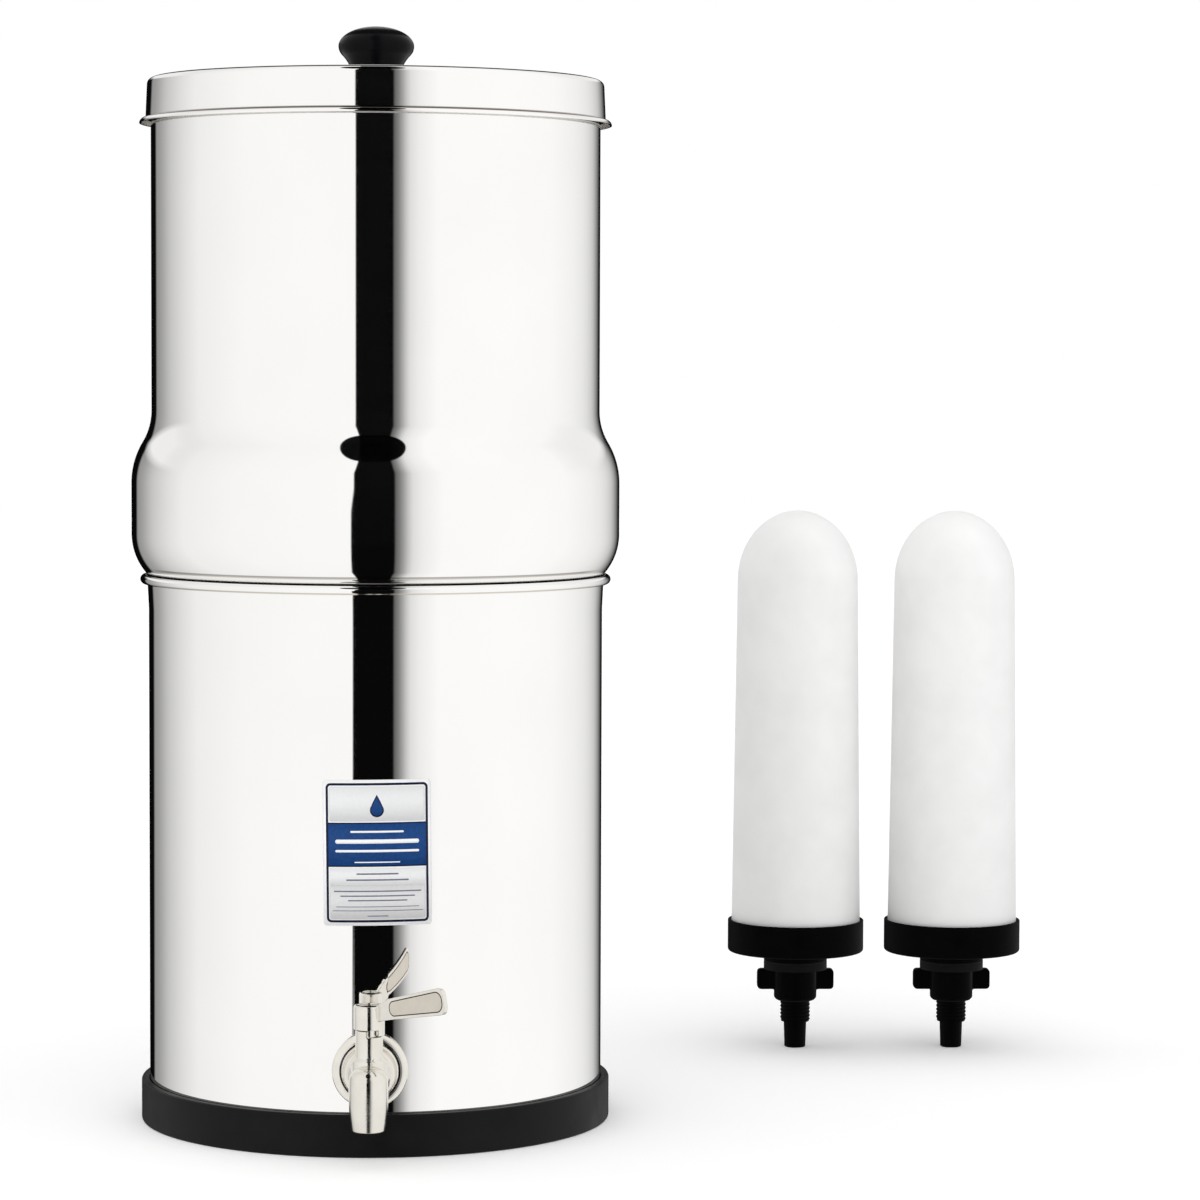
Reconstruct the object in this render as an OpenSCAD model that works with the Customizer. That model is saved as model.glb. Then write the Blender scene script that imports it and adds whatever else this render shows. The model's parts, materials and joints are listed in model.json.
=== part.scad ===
// Gravity water filter: two stacked steel chambers on a base ring, with a lid, a quarter-turn tap,
// two filter candles fitted in the floor of the upper chamber and a second pair standing beside it.
// Millimetres, +Z up. The origin is where the vessel's axis meets the counter, and the tap faces -Y.

/* [Base ring] */
// Height of the ring's wall
ring_h = 20; // [12:1:40]
// Thickness of the ring's wall
ring_wall = 3.6; // [2:0.2:6]
// Thickness of the ring's floor, which the lower chamber stands on
ring_floor = 3; // [2:0.5:6]
// Width of the ring's floor, measured in from the chamber's side
ring_ledge = 16; // [10:1:40]
// Play between the ring's wall and the chamber
ring_gap = 0.4; // [0.2:0.1:1]

/* [Fits] */
// Gap left between pieces that stand on each other and lift off
seat_gap = 0.2; // [0.1:0.1:0.4]
// Play round a stem, shank or screw in the hole that it passes through, on the radius
hole_gap = 0.35; // [0.2:0.05:0.6]
// Play between a thread and the nut or seal on it, on the radius
thread_gap = 0.1; // [0.05:0.05:0.3]

/* [Lower chamber] */
// Outer diameter of the lower chamber
lower_d = 219; // [200:1:260]
// Height of the lower chamber, from its bottom to the top of its lip
lower_h = 261; // [180:0.5:340]
// Thickness of the steel sheet of both chambers and the lid
sheet = 1; // [0.8:0.1:1.4]
// Radius of the lower chamber's bottom corner
lower_corner = 8; // [4:1:14]
// Diameter of the bead rolled on the lip
lip_bead = 4.4; // [3:0.2:6]
// How much wider the mouth is than the side, on the radius
lip_flare = 0.7; // [0:0.1:1.5]
// Height over which the side widens to the mouth
lip_flare_h = 14; // [6:1:30]

/* [Upper chamber] */
// Outer diameter of the upper chamber's straight part
upper_d = 216; // [200:1:240]
// Space between the tops of the fitted candles and the rim
headroom = 7; // [4:0.5:90]
// Outer diameter of the bulge above the lip
bulge_d = 235.4; // [228:0.2:250]
// Height of the bulge's rounding above the cone that it stands on
bulge_low = 18.5; // [14:0.1:24]
// Height of the bulge's straight band
bulge_band = 24.5; // [10:0.5:40]
// How far inside the crown of the lip the cone under the bulge begins
cone_in = 0.4; // [0:0.1:1.2]
// Steepest slope of the shoulder, from the vertical
shoulder_slope = 31; // [26:1:40]
// Radius of the hollow curve at the top of the shoulder
shoulder_hollow = 30; // [20:1:34]
// How far the cone and the spigot reach down from the bulge into the lower chamber
spigot_depth = 18.5; // [12:0.5:24]
// Play between the spigot and the lower chamber's mouth
spigot_gap = 0.6; // [0.3:0.1:1.2]
// Radius of the spigot's bottom corner
spigot_corner = 6; // [3:1:8]
// Height of the part that narrows to the rim
neck_h = 23.1; // [20:0.1:34]
// Radius of the rounding at the foot of that part
top_round = 3; // [2:0.5:8]
// Radius of the hollow curve between that rounding and the neck
top_hollow = 2; // [1:0.5:6]
// Steepest slope between them, from the vertical
top_slope = 80; // [45:1:85]

/* [Lid] */
// How far the lid's skirt stands out from the chamber's side
lid_over = 1.8; // [1.2:0.1:3]
// Play between the lid's skirt and the rim that centres it
lid_gap = 0.8; // [0.5:0.1:1.5]
// How much wider the skirt is at its foot than at its top, on the radius
lid_taper = 0.7; // [0:0.1:1.2]
// Radius of the lid's top edge
lid_corner = 3; // [2:0.5:6]
// Height of the crease over the flange above the foot of the chamber's narrowing
crease_up = 5.5; // [4:0.1:12]
// Height of the flange at the skirt's foot
flange_h = 2.6; // [2:0.1:5]
// How far the flange stands out from the skirt
flange_reach = 3; // [2:0.1:4]

/* [Lid knob] */
// Largest diameter of the knob
knob_d = 36.4; // [30:0.2:50]
// Height of the knob
knob_h = 25.8; // [22:0.2:34]
// Height of the knob's domed part, from its widest place up
knob_dome = 9.5; // [6:0.5:12]
// Radius under the knob's widest place
knob_under = 6; // [3:0.5:8]
// Diameter of the screw that holds the knob
knob_screw_d = 5; // [4:0.5:6]
// Depth of the screw in the knob
knob_screw_in = 14; // [8:1:18]

/* [Candle] */
// Diameter of the ceramic shell at its foot
candle_d = 69; // [50:0.2:74]
// Diameter of the ceramic shell where its dome begins
candle_top_d = 64; // [48:0.2:69]
// Height of the ceramic shell, with the part inside the cap
candle_h = 233.1; // [150:0.1:300]
// Height of the dome
dome_h = 37; // [25:1:45]
// Thickness of the ceramic
candle_wall = 9; // [6:0.5:14]
// Play between the ceramic and the cap, and between the ceramic and the core
potting_gap = 0.2; // [0.1:0.1:0.6]
// Wall of the cap
cap_wall = 1.6; // [1.2:0.1:3]
// Height of the cap
cap_h = 17; // [12:1:24]
// Floor of the cap
cap_floor = 3; // [2:0.5:5]
// Diameter of the boss under the cap and of the sealing washer
boss_d = 33.8; // [26:0.2:40]
// Height of the boss under the cap
boss_h = 5.4; // [3:0.2:8]
// Thickness of the sealing washer
seal_h = 4.3; // [2:0.1:5]
// Diameter of the threaded stem
stem_d = 15.9; // [12:0.1:18]
// Length of the stem below the washer, with its tip
stem_l = 42.2; // [36:0.2:50]
// Length of the stem's tapered tip
tip_l = 13.5; // [8:0.5:16]
// Diameter of the tip where it begins
tip_d = 12.1; // [9:0.1:13]
// Diameter of the tip at its end
tip_end_d = 11.3; // [8.5:0.1:12]
// Diameter of the water way through the stem
stem_bore = 6; // [3:0.5:6.5]

/* [Wing nut] */
// Width across the wings
nut_span = 41; // [32:0.5:44]
// Height of the wings
nut_wing_h = 11; // [6:0.5:14]
// Thickness of the wings
nut_wing_t = 6; // [4:0.5:9]
// Diameter of the hub
nut_hub_d = 22.8; // [20.5:0.1:26]
// Height of the hub below the wings
nut_hub_h = 5.9; // [3:0.1:10]

/* [Places of the candles] */
// Distance between the two candles in the upper chamber
fitted_pitch = 100; // [80:1:110]
// Distance between the two candles that stand beside the vessel
spare_pitch = 84; // [78:1:160]
// Place of the nearer of them to the right of the vessel's axis
spare_x = 220; // [180:1:320]
// Place of them behind the vessel's axis
spare_y = 197; // [120:1:260]

/* [Tap] */
// Height of the tap's inlet above the base ring
tap_up = 20.5; // [19.5:0.5:50]
// Diameter of the threaded shank through the wall
shank_d = 15.8; // [12:0.2:18]
// Length of the shank inside the chamber, from the wall's outer face
shank_l = 22; // [16:1:30]
// Thickness of the outer and inner gaskets in line with the tap
gasket_t = 2; // [1.6:0.1:4]
// Width across the flats of the nut inside the chamber
nut_flats = 22; // [19:0.5:25]
// Thickness of the nut
nut_h = 6; // [4:0.5:9]
// Diameter of the outer gasket
gasket_d = 33; // [28:0.5:34]
// Diameter of the inner gasket
inner_gasket_d = 27; // [24:0.5:32]
// Diameter of the domed washer behind the tap
washer_d = 35.2; // [34.4:0.2:38]
// Thickness of the domed washer under the tap's flange
washer_t = 2.4; // [1.5:0.1:3]
// Thickness of the washer at its edge
washer_edge = 0.6; // [0.4:0.1:1.2]
// Diameter of the tap's own flange
tap_flange_d = 26.5; // [24:0.1:30]
// Thickness of the tap's own flange
tap_flange_t = 1.1; // [0.8:0.1:3.5]
// How far the tap's dome begins inside the edge of the flange
dome_in = 0.8; // [0.4:0.1:2]
// Length of the dome in front of the flange
dome_l = 20; // [14:1:24]
// Distance of the barrel's axis from the wall
barrel_out = 18.5; // [18:0.5:24]
// Outer diameter of the barrel
barrel_d = 12.7; // [12:0.1:14]
// Diameter of the core that the barrel stands on
core_d = 16.4; // [15:0.2:20]
// Top of the core, above the inlet
core_up = 7.5; // [6:0.5:9]
// Top of the barrel, above the inlet
barrel_up = 21.7; // [20:0.1:28]
// Bottom of the core, below the inlet
core_down = 9.5; // [8:0.5:12]
// Thickness of the core under the plug
core_floor = 2.2; // [1.5:0.1:3]
// Distance of the spout's axis from the barrel's axis
spout_out = 12; // [10:0.5:16]
// Diameter of the spout's head
spout_d = 18.1; // [16:0.1:20]
// Diameter of the spout's mouth outside
mouth_d = 14.8; // [14:0.1:18]
// Bottom of the spout, below the inlet
spout_down = 20; // [18:0.5:24]
// Top of the spout's head, above the inlet
spout_up = 6.1; // [5.5:0.1:8]
// Bottom of the spout's straight head, below the inlet
spout_straight = 7; // [4:0.5:12]
// Radius round the top of the spout's head
spout_round = 5.9; // [3:0.1:7]
// Bore of the spout
spout_bore = 11.2; // [8:0.2:11.6]
// Bore of the inlet and of the way to the spout
inlet_bore = 7; // [5:0.5:8]

/* [Tap handle] */
// Diameter of the plug in the barrel
plug_d = 9; // [8:0.1:9.6]
// Running play between the plug and the barrel, on the radius
plug_fit = 0.05; // [0.03:0.01:0.08]
// Diameter of the water way across the plug
plug_port = 5.6; // [3:0.2:6]
// Direction of the lever at rest, from the front towards the right
lever_angle = 44; // [0:1:90]
// Quarter turn between the tap's stops
tap_turn = 90; // [60:1:90]
// Thickness of the sealing rings round the plug
ring_d = 1.6; // [1:0.1:2]
// Distance between the sealing rings
ring_pitch = 5; // [3:0.5:6]
// Width of the square drive between the plug and the lever
drive_w = 5; // [4.2:0.1:6]
// Diameter of the lever's collar
collar_d = 14.3; // [13.8:0.1:16]
// Height of the collar
collar_h = 11; // [9:0.5:14]
// Depth of the recess in the collar's top
recess_h = 2.4; // [1.5:0.1:4]
// Width of the rim round that recess
recess_rim = 1.6; // [1:0.1:2.5]
// Diameter of the screw in the recess
screw_d = 3.2; // [2:0.1:4]
// Gap between the collar and the barrel
collar_gap = 0.3; // [0.2:0.1:0.8]
// Depth of the lug under the collar
lug_h = 2.8; // [2:0.1:4]
// Width of the lug, as an angle
lug_angle = 50; // [30:1:60]
// Where the lug's near side is, from the front towards the right
lug_from = 40; // [0:1:60]
// Reach of the lever from the barrel's axis
lever_l = 51.5; // [40:0.5:70]
// Height of the lever's blade at its end
lever_h = 11.3; // [10:0.1:14]
// Height of the blade where its panel begins
blade_in_h = 9.6; // [9:0.1:11]
// Radius of the blade's corners
blade_corner = 3.4; // [2:0.1:4]
// Thickness of the lever's blade
lever_t = 2.4; // [2:0.2:4.5]
// Slope at which the blade rises
lever_rise = 12.3; // [0:0.1:20]
// Height at which the blade's middle line leaves the collar, above the collar's foot
blade_mid = 7.5; // [6:0.1:10]
// Where the blade reaches the height that it has at its panel
panel_from = 15; // [13:0.5:20]
// Width of the rim round the panel in the blade
panel_rim = 2; // [1.2:0.1:2.4]
// Radius of the panel's corners
panel_corner = 2.4; // [1.4:0.1:2.6]
// Depth of the panel in each face of the blade
panel_deep = 0.5; // [0.3:0.1:0.8]

/* [Hidden] */
$fn = 96;
eps = 0.01;
curl_end = -110;
nut_edge = 1.5;
steel = [0.86, 0.86, 0.85];
tap_steel = [0.8, 0.79, 0.77];
black_plastic = [0.04, 0.04, 0.045];
black_rubber = [0.1, 0.1, 0.1];

// Lower chamber and its lip
lower_r = lower_d / 2;
lower_z = ring_floor;
lip_z = lower_z + lower_h;
lip_r = lip_bead / 2;
lip_mid_r = lower_r + lip_flare - sheet + lip_r;
lip_mid_z = lip_z - lip_r;
ring_in = lower_r + ring_gap;
ring_out = ring_in + ring_wall;

// A candle, from the tip of its stem up
candle_r = candle_d / 2;
candle_top_r = candle_top_d / 2;
seal_z = stem_l;
cap_z = seal_z + seal_h + boss_h;
shell_z = cap_z + cap_floor;
core_r = candle_top_r - candle_wall - potting_gap;
cap_r = candle_r + potting_gap + cap_wall;

// Upper chamber: the bulge runs in to the spigot by a cone, which rests on the lip
upper_r = upper_d / 2;
bulge_r = bulge_d / 2;
cone_r = lip_mid_r - cone_in;
bulge_angle = 2 * atan((bulge_r - cone_r) / bulge_low);
bulge_round = bulge_low / sin(bulge_angle);
cone_z = lip_mid_z + (lip_r + seat_gap - cone_in * cos(bulge_angle)) / sin(bulge_angle);
spigot_r = lower_r - sheet - spigot_gap;
spigot_z = cone_z - (cone_r - spigot_r) / tan(bulge_angle);
floor_z = cone_z - spigot_depth;
fitted_z = floor_z + sheet - seal_z;
rim_z = fitted_z + shell_z + candle_h + headroom;
narrow_z = rim_z - neck_h;
neck_r = upper_r - (top_round + top_hollow) * (1 - cos(top_slope));
band_z = cone_z + bulge_low;
shoulder_round = (bulge_r - upper_r) / (1 - cos(shoulder_slope)) - shoulder_hollow;

// Lid
lid_under = rim_z + seat_gap;
lid_z = lid_under + sheet;
lid_r = upper_r + lid_over;
lid_foot_r = lid_r + lid_taper;
crease_z = narrow_z + crease_up;
rim_r = (lid_r - lid_gap - neck_r) / 2;

// Tap, along the line of its shank from the vessel's axis outwards
tap_z = ring_h + tap_up;
shank_r = shank_d / 2;
washer_at = lower_r + gasket_t;
flange_at = washer_at + washer_t;
barrel_at = lower_r + barrel_out;
spout_at = barrel_at + spout_out;
inner_seat = lower_r - sheet - gasket_t;

// Tap, up the axis of its barrel
plug_r = plug_d / 2;
plug_low = tap_z - core_down + core_floor;
barrel_top = tap_z + barrel_up;
collar_z = barrel_top + collar_gap;
notch_z = collar_z - lug_h - collar_gap;
collar_r = collar_d / 2;
screw_r = screw_d / 2;
screw_foot = 2;
groove_r = plug_r - ring_d;
ring_zs = [for (i = [0, 1]) notch_z - 1.5 * ring_d - ring_d - i * ring_pitch];

// The space between an outer line and the same line moved in by the sheet's thickness
module turned(outer, inner) {
    rotate_extrude() polygon(concat(outer, reversed(inner)));
}

// Moves its children out through the tap's side of the vessel, with +Z pointing outwards
module outward(distance) {
    translate([0, -distance, tap_z]) rotate([90, 0, 0]) children();
}

module at_barrel() {
    translate([0, -barrel_at, 0]) children();
}

// Turns the XZ plane of its children into the upright plane of the lever
module along_lever() {
    rotate([0, 0, lever_angle - 90]) rotate([90, 0, 0]) children();
}

function arc(x, z, r, from, to, n = 8) = ellipse(x, z, r, r, from, to, n);
function ellipse(x, z, rx, rz, from, to, n = 12) =
    [for (i = [0:n]) let (a = from + (to - from) * i / n) [x + rx * cos(a), z + rz * sin(a)]];
function reversed(line) = [for (i = [len(line) - 1:-1:0]) line[i]];
function sector(from, to, r) = concat([[0, 0]], arc(0, 0, r, from - 90, to - 90, 12));

// ---- Vessel ----

module base_ring() {
    edge = 1.2;
    inner_r = lower_r - ring_ledge;
    color(black_plastic) rotate_extrude() polygon(concat(
        [[inner_r, 0]],
        arc(ring_out - edge, edge, edge, -90, 0, 4),
        arc(ring_out - edge, ring_h - edge, edge, 0, 90, 4),
        [[ring_in, ring_h], [ring_in, ring_floor], [inner_r, ring_floor]]));
}

function lower_line(t) = concat(
    [[0, lower_z + t]],
    arc(lower_r - lower_corner, lower_z + lower_corner, lower_corner - t, -90, 0),
    [[lower_r - t, lip_mid_z - lip_flare_h]],
    arc(lip_mid_r, lip_mid_z, lip_r - sheet + t, 180, curl_end, 14));

module lower_chamber() {
    color(steel) difference() {
        turned(lower_line(0), lower_line(sheet));
        outward(lower_r / 2) cylinder(r = shank_r + hole_gap, h = lower_r);
    }
}

// A shoulder that curves in from radius r at height z, and back to the vertical
function shoulder(r, z, round, hollow, slope, t) = concat(
    arc(r - round, z, round - t, 0, slope),
    arc(r - round + (round + hollow) * cos(slope), z + (round + hollow) * sin(slope),
        hollow + t, 180 + slope, 180));

function upper_line(t) = concat(
    [[0, floor_z + t]],
    arc(spigot_r - spigot_corner, floor_z + spigot_corner, spigot_corner - t, -90, 0),
    [[spigot_r - t, spigot_z + t * tan(bulge_angle / 2)]],
    arc(bulge_r - bulge_round, band_z, bulge_round - t, -bulge_angle, 0),
    shoulder(bulge_r, band_z + bulge_band, shoulder_round, shoulder_hollow, shoulder_slope, t),
    shoulder(upper_r, narrow_z, top_round, top_hollow, top_slope, t),
    arc(neck_r - sheet + rim_r, rim_z - rim_r, rim_r - sheet + t, 180, curl_end, 14));

module upper_chamber() {
    color(steel) difference() {
        turned(upper_line(0), upper_line(sheet));
        for (side = [-1, 1])
            translate([side * fitted_pitch / 2, 0, floor_z - sheet])
                cylinder(r = stem_d / 2 + hole_gap, h = 3 * sheet);
    }
}

// ---- Lid ----

function lid_line(t) = concat(
    [[knob_screw_d / 2 + hole_gap, lid_z - t]],
    arc(lid_r - lid_corner, lid_z - lid_corner, lid_corner - t, 90, 0),
    ellipse(lid_foot_r - t, crease_z - flange_h, flange_reach, flange_h - t, 90, 0));

module lid() {
    color(steel) turned(lid_line(0), lid_line(sheet));
}

// The neck of the knob sweeps up from the lid in one hollow curve to the rounding under its head
module lid_knob() {
    slope = 45;
    wide_z = knob_h - knob_dome;
    under_z = wide_z - knob_under * sin(slope);
    under_r = knob_d / 2 - knob_under * (1 - cos(slope));
    neck_round = under_z / sin(slope);
    color(black_plastic) translate([0, 0, lid_z]) difference() {
        rotate_extrude() polygon(concat(
            [[0, 0]],
            arc(under_r + neck_round * cos(slope), 0, neck_round, 180, 180 - slope),
            arc(knob_d / 2 - knob_under, wide_z, knob_under, -slope, 0, 5),
            ellipse(0, wide_z, knob_d / 2, knob_dome, 0, 90)));
        translate([0, 0, -eps]) cylinder(d = knob_screw_d, h = knob_screw_in);
    }
}

module knob_washer() {
    color(steel) translate([0, 0, lid_under - sheet]) difference() {
        cylinder(d = 3 * knob_screw_d, h = sheet);
        translate([0, 0, -eps]) cylinder(r = knob_screw_d / 2 + hole_gap, h = sheet + 2 * eps);
    }
}

module knob_screw() {
    head_h = 0.6 * knob_screw_d;
    head_z = lid_under - sheet - head_h;
    shaft_top = lid_z + knob_screw_in - sheet;
    slot_w = 0.24 * knob_screw_d;
    color(steel) translate([0, 0, head_z]) difference() {
        union() {
            cylinder(r = knob_screw_d, h = head_h);
            cylinder(d = knob_screw_d, h = shaft_top - head_z);
        }
        translate([-1.5 * knob_screw_d, -slot_w / 2, -slot_w]) cube([3 * knob_screw_d, slot_w, 2 * slot_w]);
    }
}

// ---- Candles, each from the tip of its stem up ----

module candle_shell() {
    dome_z = shell_z + candle_h - dome_h;
    inner_r = core_r + potting_gap;
    color([0.95, 0.95, 0.94]) rotate_extrude() polygon(concat(
        [[inner_r, shell_z], [candle_r, shell_z]],
        ellipse(0, dome_z, candle_top_r, dome_h, 0, 90, 16),
        ellipse(0, dome_z, inner_r, dome_h - candle_wall, 90, 0)));
}

module candle_core() {
    core_h = candle_h - dome_h;
    color([0.12, 0.12, 0.13]) translate([0, 0, shell_z]) difference() {
        cylinder(r = core_r, h = core_h);
        translate([0, 0, -eps]) cylinder(d = stem_bore, h = core_h - candle_wall);
    }
}

module candle_cap() {
    edge = 1.5;
    tip_edge = 0.8;
    tip_shoulder = (stem_d - tip_d) / 2;
    mouth_r = cap_r - cap_wall;
    color(black_plastic) rotate_extrude() polygon(concat(
        [[stem_bore / 2, 0], [tip_end_d / 2 - tip_edge, 0], [tip_end_d / 2, tip_edge],
         [tip_d / 2, tip_l], [stem_d / 2, tip_l + tip_shoulder], [stem_d / 2, seal_z + seal_h],
         [boss_d / 2, seal_z + seal_h], [boss_d / 2, cap_z]],
        arc(cap_r - edge, cap_z + edge, edge, -90, 0, 4),
        [[cap_r, cap_z + cap_h], [mouth_r, cap_z + cap_h], [mouth_r, shell_z],
         [stem_bore / 2, shell_z]]));
}

module candle_seal() {
    color(black_rubber) translate([0, 0, seal_z]) difference() {
        cylinder(d = boss_d, h = seal_h);
        translate([0, 0, -eps]) cylinder(r = stem_d / 2 + thread_gap, h = seal_h + 2 * eps);
    }
}

// A wing nut whose clamping face is at the given height
module wing_nut(top) {
    wing_edge = 2;
    hub_r = nut_hub_d / 2;
    wing_x = nut_span / 2 - wing_edge;
    color(black_plastic) translate([0, 0, top - nut_wing_h]) difference() {
        union() {
            rotate_extrude() polygon([[0, -nut_hub_h], [hub_r - nut_edge, -nut_hub_h],
                [hub_r, nut_edge - nut_hub_h], [hub_r, nut_wing_h], [0, nut_wing_h]]);
            translate([0, nut_wing_t / 2, 0]) rotate([90, 0, 0]) linear_extrude(nut_wing_t) hull()
                for (x = [-wing_x, wing_x], z = [wing_edge, nut_wing_h - wing_edge])
                    translate([x, z]) circle(wing_edge, $fn = 24);
        }
        translate([0, 0, -nut_hub_h - eps])
            cylinder(r = stem_d / 2 + thread_gap, h = nut_wing_h + nut_hub_h + 2 * eps);
    }
}

module fitted(side) {
    translate([side * fitted_pitch / 2, 0, fitted_z]) children();
}

module spare(place) {
    translate([spare_x + place * spare_pitch, spare_y, 0]) children();
}

// ---- Tap ----

// The washer is flat under the tap's flange and curves back to its edge outside it
module tap_washer() {
    seat_r = tap_flange_d / 2;
    hole_r = shank_r + hole_gap;
    color(tap_steel) outward(washer_at) rotate_extrude() polygon(concat(
        [[hole_r, 0], [washer_d / 2, 0]],
        ellipse(seat_r, washer_edge, washer_d / 2 - seat_r, washer_t - washer_edge, 0, 90, 8),
        [[hole_r, washer_t]]));
}

// The gaskets fill the space between the round wall and the flat faces that clamp it
module outer_gasket() {
    color(black_rubber) difference() {
        outward(lower_r - gasket_t) cylinder(d = gasket_d, h = 2 * gasket_t);
        cylinder(r = lower_r, h = lip_z, $fn = 192);
        outward(lower_r / 2) cylinder(r = shank_r + hole_gap, h = lower_r);
    }
}

module inner_gasket() {
    color(black_rubber) difference() {
        intersection() {
            outward(inner_seat) cylinder(d = inner_gasket_d, h = 2 * gasket_t);
            cylinder(r = lower_r - sheet, h = lip_z, $fn = 192);
        }
        outward(lower_r / 2) cylinder(r = shank_r + hole_gap, h = lower_r);
    }
}

module tap_nut() {
    corner_r = nut_flats / 2 / cos(30);
    color(tap_steel) outward(inner_seat - nut_h) difference() {
        cylinder(r = corner_r, h = nut_h, $fn = 6);
        translate([0, 0, -eps]) cylinder(r = shank_r + thread_gap, h = nut_h + 2 * eps);
    }
}

// The spout hangs from its rounded head and narrows to its mouth in one long curve
module spout() {
    head_r = spout_d / 2;
    bend_h = spout_down - spout_straight;
    bend = 2 * atan((spout_d - mouth_d) / 2 / bend_h);
    bend_r = bend_h / sin(bend);
    crown = 75;
    rotate_extrude() polygon(concat(
        [[0, -spout_down]],
        arc(head_r - bend_r, -spout_straight, bend_r, -bend, 0),
        arc(head_r - spout_round, spout_up - spout_round, spout_round, 0, crown),
        [[0, spout_up]]));
}

// A domed bell in front of its flange, measured from the flange's back
module bell() {
    back_edge = 0.5;
    flange_r = tap_flange_d / 2;
    rotate_extrude() polygon(concat(
        [[0, 0], [flange_r - back_edge, 0], [flange_r, back_edge], [flange_r, tap_flange_t]],
        ellipse(0, tap_flange_t, flange_r - dome_in, dome_l, 0, 90, 16)));
}

// The barrel stands on a core, which the bell and the spout join
module barrel() {
    core_r = core_d / 2;
    edge = 2;
    rotate_extrude() polygon([[0, -core_down], [core_r - edge, -core_down],
        [core_r, edge - core_down], [core_r, core_up], [barrel_d / 2, core_up + core_r - barrel_d / 2],
        [barrel_d / 2, barrel_up], [0, barrel_up]]);
}

// The lug swings in this notch between the tap's stops
module stop_notch() {
    play = 1;
    open_side = lug_from - lever_angle - play;
    shut_side = lug_from + lug_angle + tap_turn - lever_angle + play;
    translate([0, 0, notch_z]) linear_extrude(barrel_top)
        polygon(sector(open_side, shut_side, barrel_d));
}

module tap_body() {
    shank_at = lower_r - shank_l;
    color(tap_steel) difference() {
        union() {
            outward(shank_at) cylinder(r = shank_r, h = flange_at - shank_at + eps);
            outward(flange_at) bell();
            translate([0, -barrel_at, tap_z]) barrel();
            translate([0, -spout_at, tap_z]) spout();
        }
        outward(shank_at - eps) cylinder(d = inlet_bore, h = spout_at - shank_at);
        translate([0, -spout_at, tap_z - spout_down - eps])
            cylinder(d = spout_bore, h = spout_down + inlet_bore / 2);
        at_barrel() translate([0, 0, plug_low]) cylinder(r = plug_r + plug_fit, h = barrel_top);
        at_barrel() stop_notch();
    }
}

// ---- Tap handle, at rest between open and shut ----

module tap_plug() {
    base_z = plug_low + seat_gap;
    drive_h = collar_h - recess_h - seat_gap;
    color(tap_steel) at_barrel() difference() {
        union() {
            translate([0, 0, base_z]) cylinder(r = plug_r, h = collar_z - base_z);
            rotate([0, 0, lever_angle]) translate([-drive_w / 2, -drive_w / 2, collar_z - eps])
                cube([drive_w, drive_w, drive_h + eps]);
        }
        along_lever() translate([0, tap_z, 0]) rotate([0, 90, 0])
            cylinder(d = plug_port, h = 2 * plug_d, center = true);
        for (z = ring_zs) rotate_extrude()
            translate([groove_r, z - ring_d / 2]) square([plug_r, ring_d]);
        translate([0, 0, collar_z + screw_foot]) cylinder(r = screw_r, h = collar_h);
    }
}

module plug_o_rings() {
    color(black_rubber) at_barrel() for (z = ring_zs)
        rotate_extrude() translate([groove_r + ring_d / 2, z]) circle(d = ring_d, $fn = 32);
}

// Half the height of the blade, which grows towards its end
function blade_half(x) =
    (blade_in_h + (lever_h - blade_in_h) * (x - panel_from) / (lever_l - panel_from)) / 2;

// The long part of the blade, or its panel, which is smaller by the rim all round
module blade_outline(rim, corner) {
    inset = rim + corner;
    hull() for (x = [panel_from + inset, lever_l - inset], z = [-1, 1])
        translate([x, z * (blade_half(x) - inset)]) circle(corner, $fn = 32);
}

module rising() {
    translate([0, blade_mid]) rotate(lever_rise) children();
}

// The root of the blade spreads from the collar to the place where the panel begins
module blade() {
    foot = 4;
    rising() blade_outline(0, blade_corner);
    hull() {
        translate([collar_r - 2, foot]) square([1, collar_h - foot - 0.4]);
        rising() translate([panel_from, -blade_in_h / 2]) square([blade_corner, blade_in_h]);
    }
}

module tap_lever() {
    edge = 0.6;
    color(tap_steel) at_barrel() translate([0, 0, collar_z]) difference() {
        union() {
            rotate_extrude() polygon([[0, 0], [collar_r, 0], [collar_r, collar_h - edge],
                [collar_r - edge, collar_h], [0, collar_h]]);
            translate([0, 0, -lug_h]) linear_extrude(lug_h + eps) intersection() {
                circle(collar_r);
                polygon(sector(lug_from, lug_from + lug_angle, collar_d));
            }
            along_lever() linear_extrude(lever_t, center = true) blade();
        }
        along_lever() for (side = [-1, 1]) translate([0, 0, side * lever_t / 2])
            linear_extrude(2 * panel_deep, center = true) rising()
                blade_outline(panel_rim, panel_corner);
        translate([0, 0, -lug_h - eps]) cylinder(r = plug_r + hole_gap, h = lug_h + eps);
        rotate([0, 0, lever_angle]) translate([-drive_w / 2, -drive_w / 2, -lug_h])
            cube([drive_w, drive_w, lug_h + collar_h]);
        translate([0, 0, collar_h - recess_h]) cylinder(r = collar_r - recess_rim, h = recess_h + eps);
    }
}

module lever_screw() {
    head_r = collar_r - recess_rim - 0.6;
    head_h = 0.75 * recess_h;
    slot_w = 1;
    color(tap_steel) at_barrel() translate([0, 0, collar_z + collar_h - recess_h]) difference() {
        union() {
            cylinder(r = head_r, h = head_h);
            translate([0, 0, screw_foot + 1 + recess_h - collar_h])
                cylinder(r = screw_r, h = collar_h - recess_h - screw_foot);
        }
        translate([-head_r, -slot_w / 2, head_h - slot_w]) cube([2 * head_r, slot_w, 2 * slot_w]);
    }
}

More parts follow.
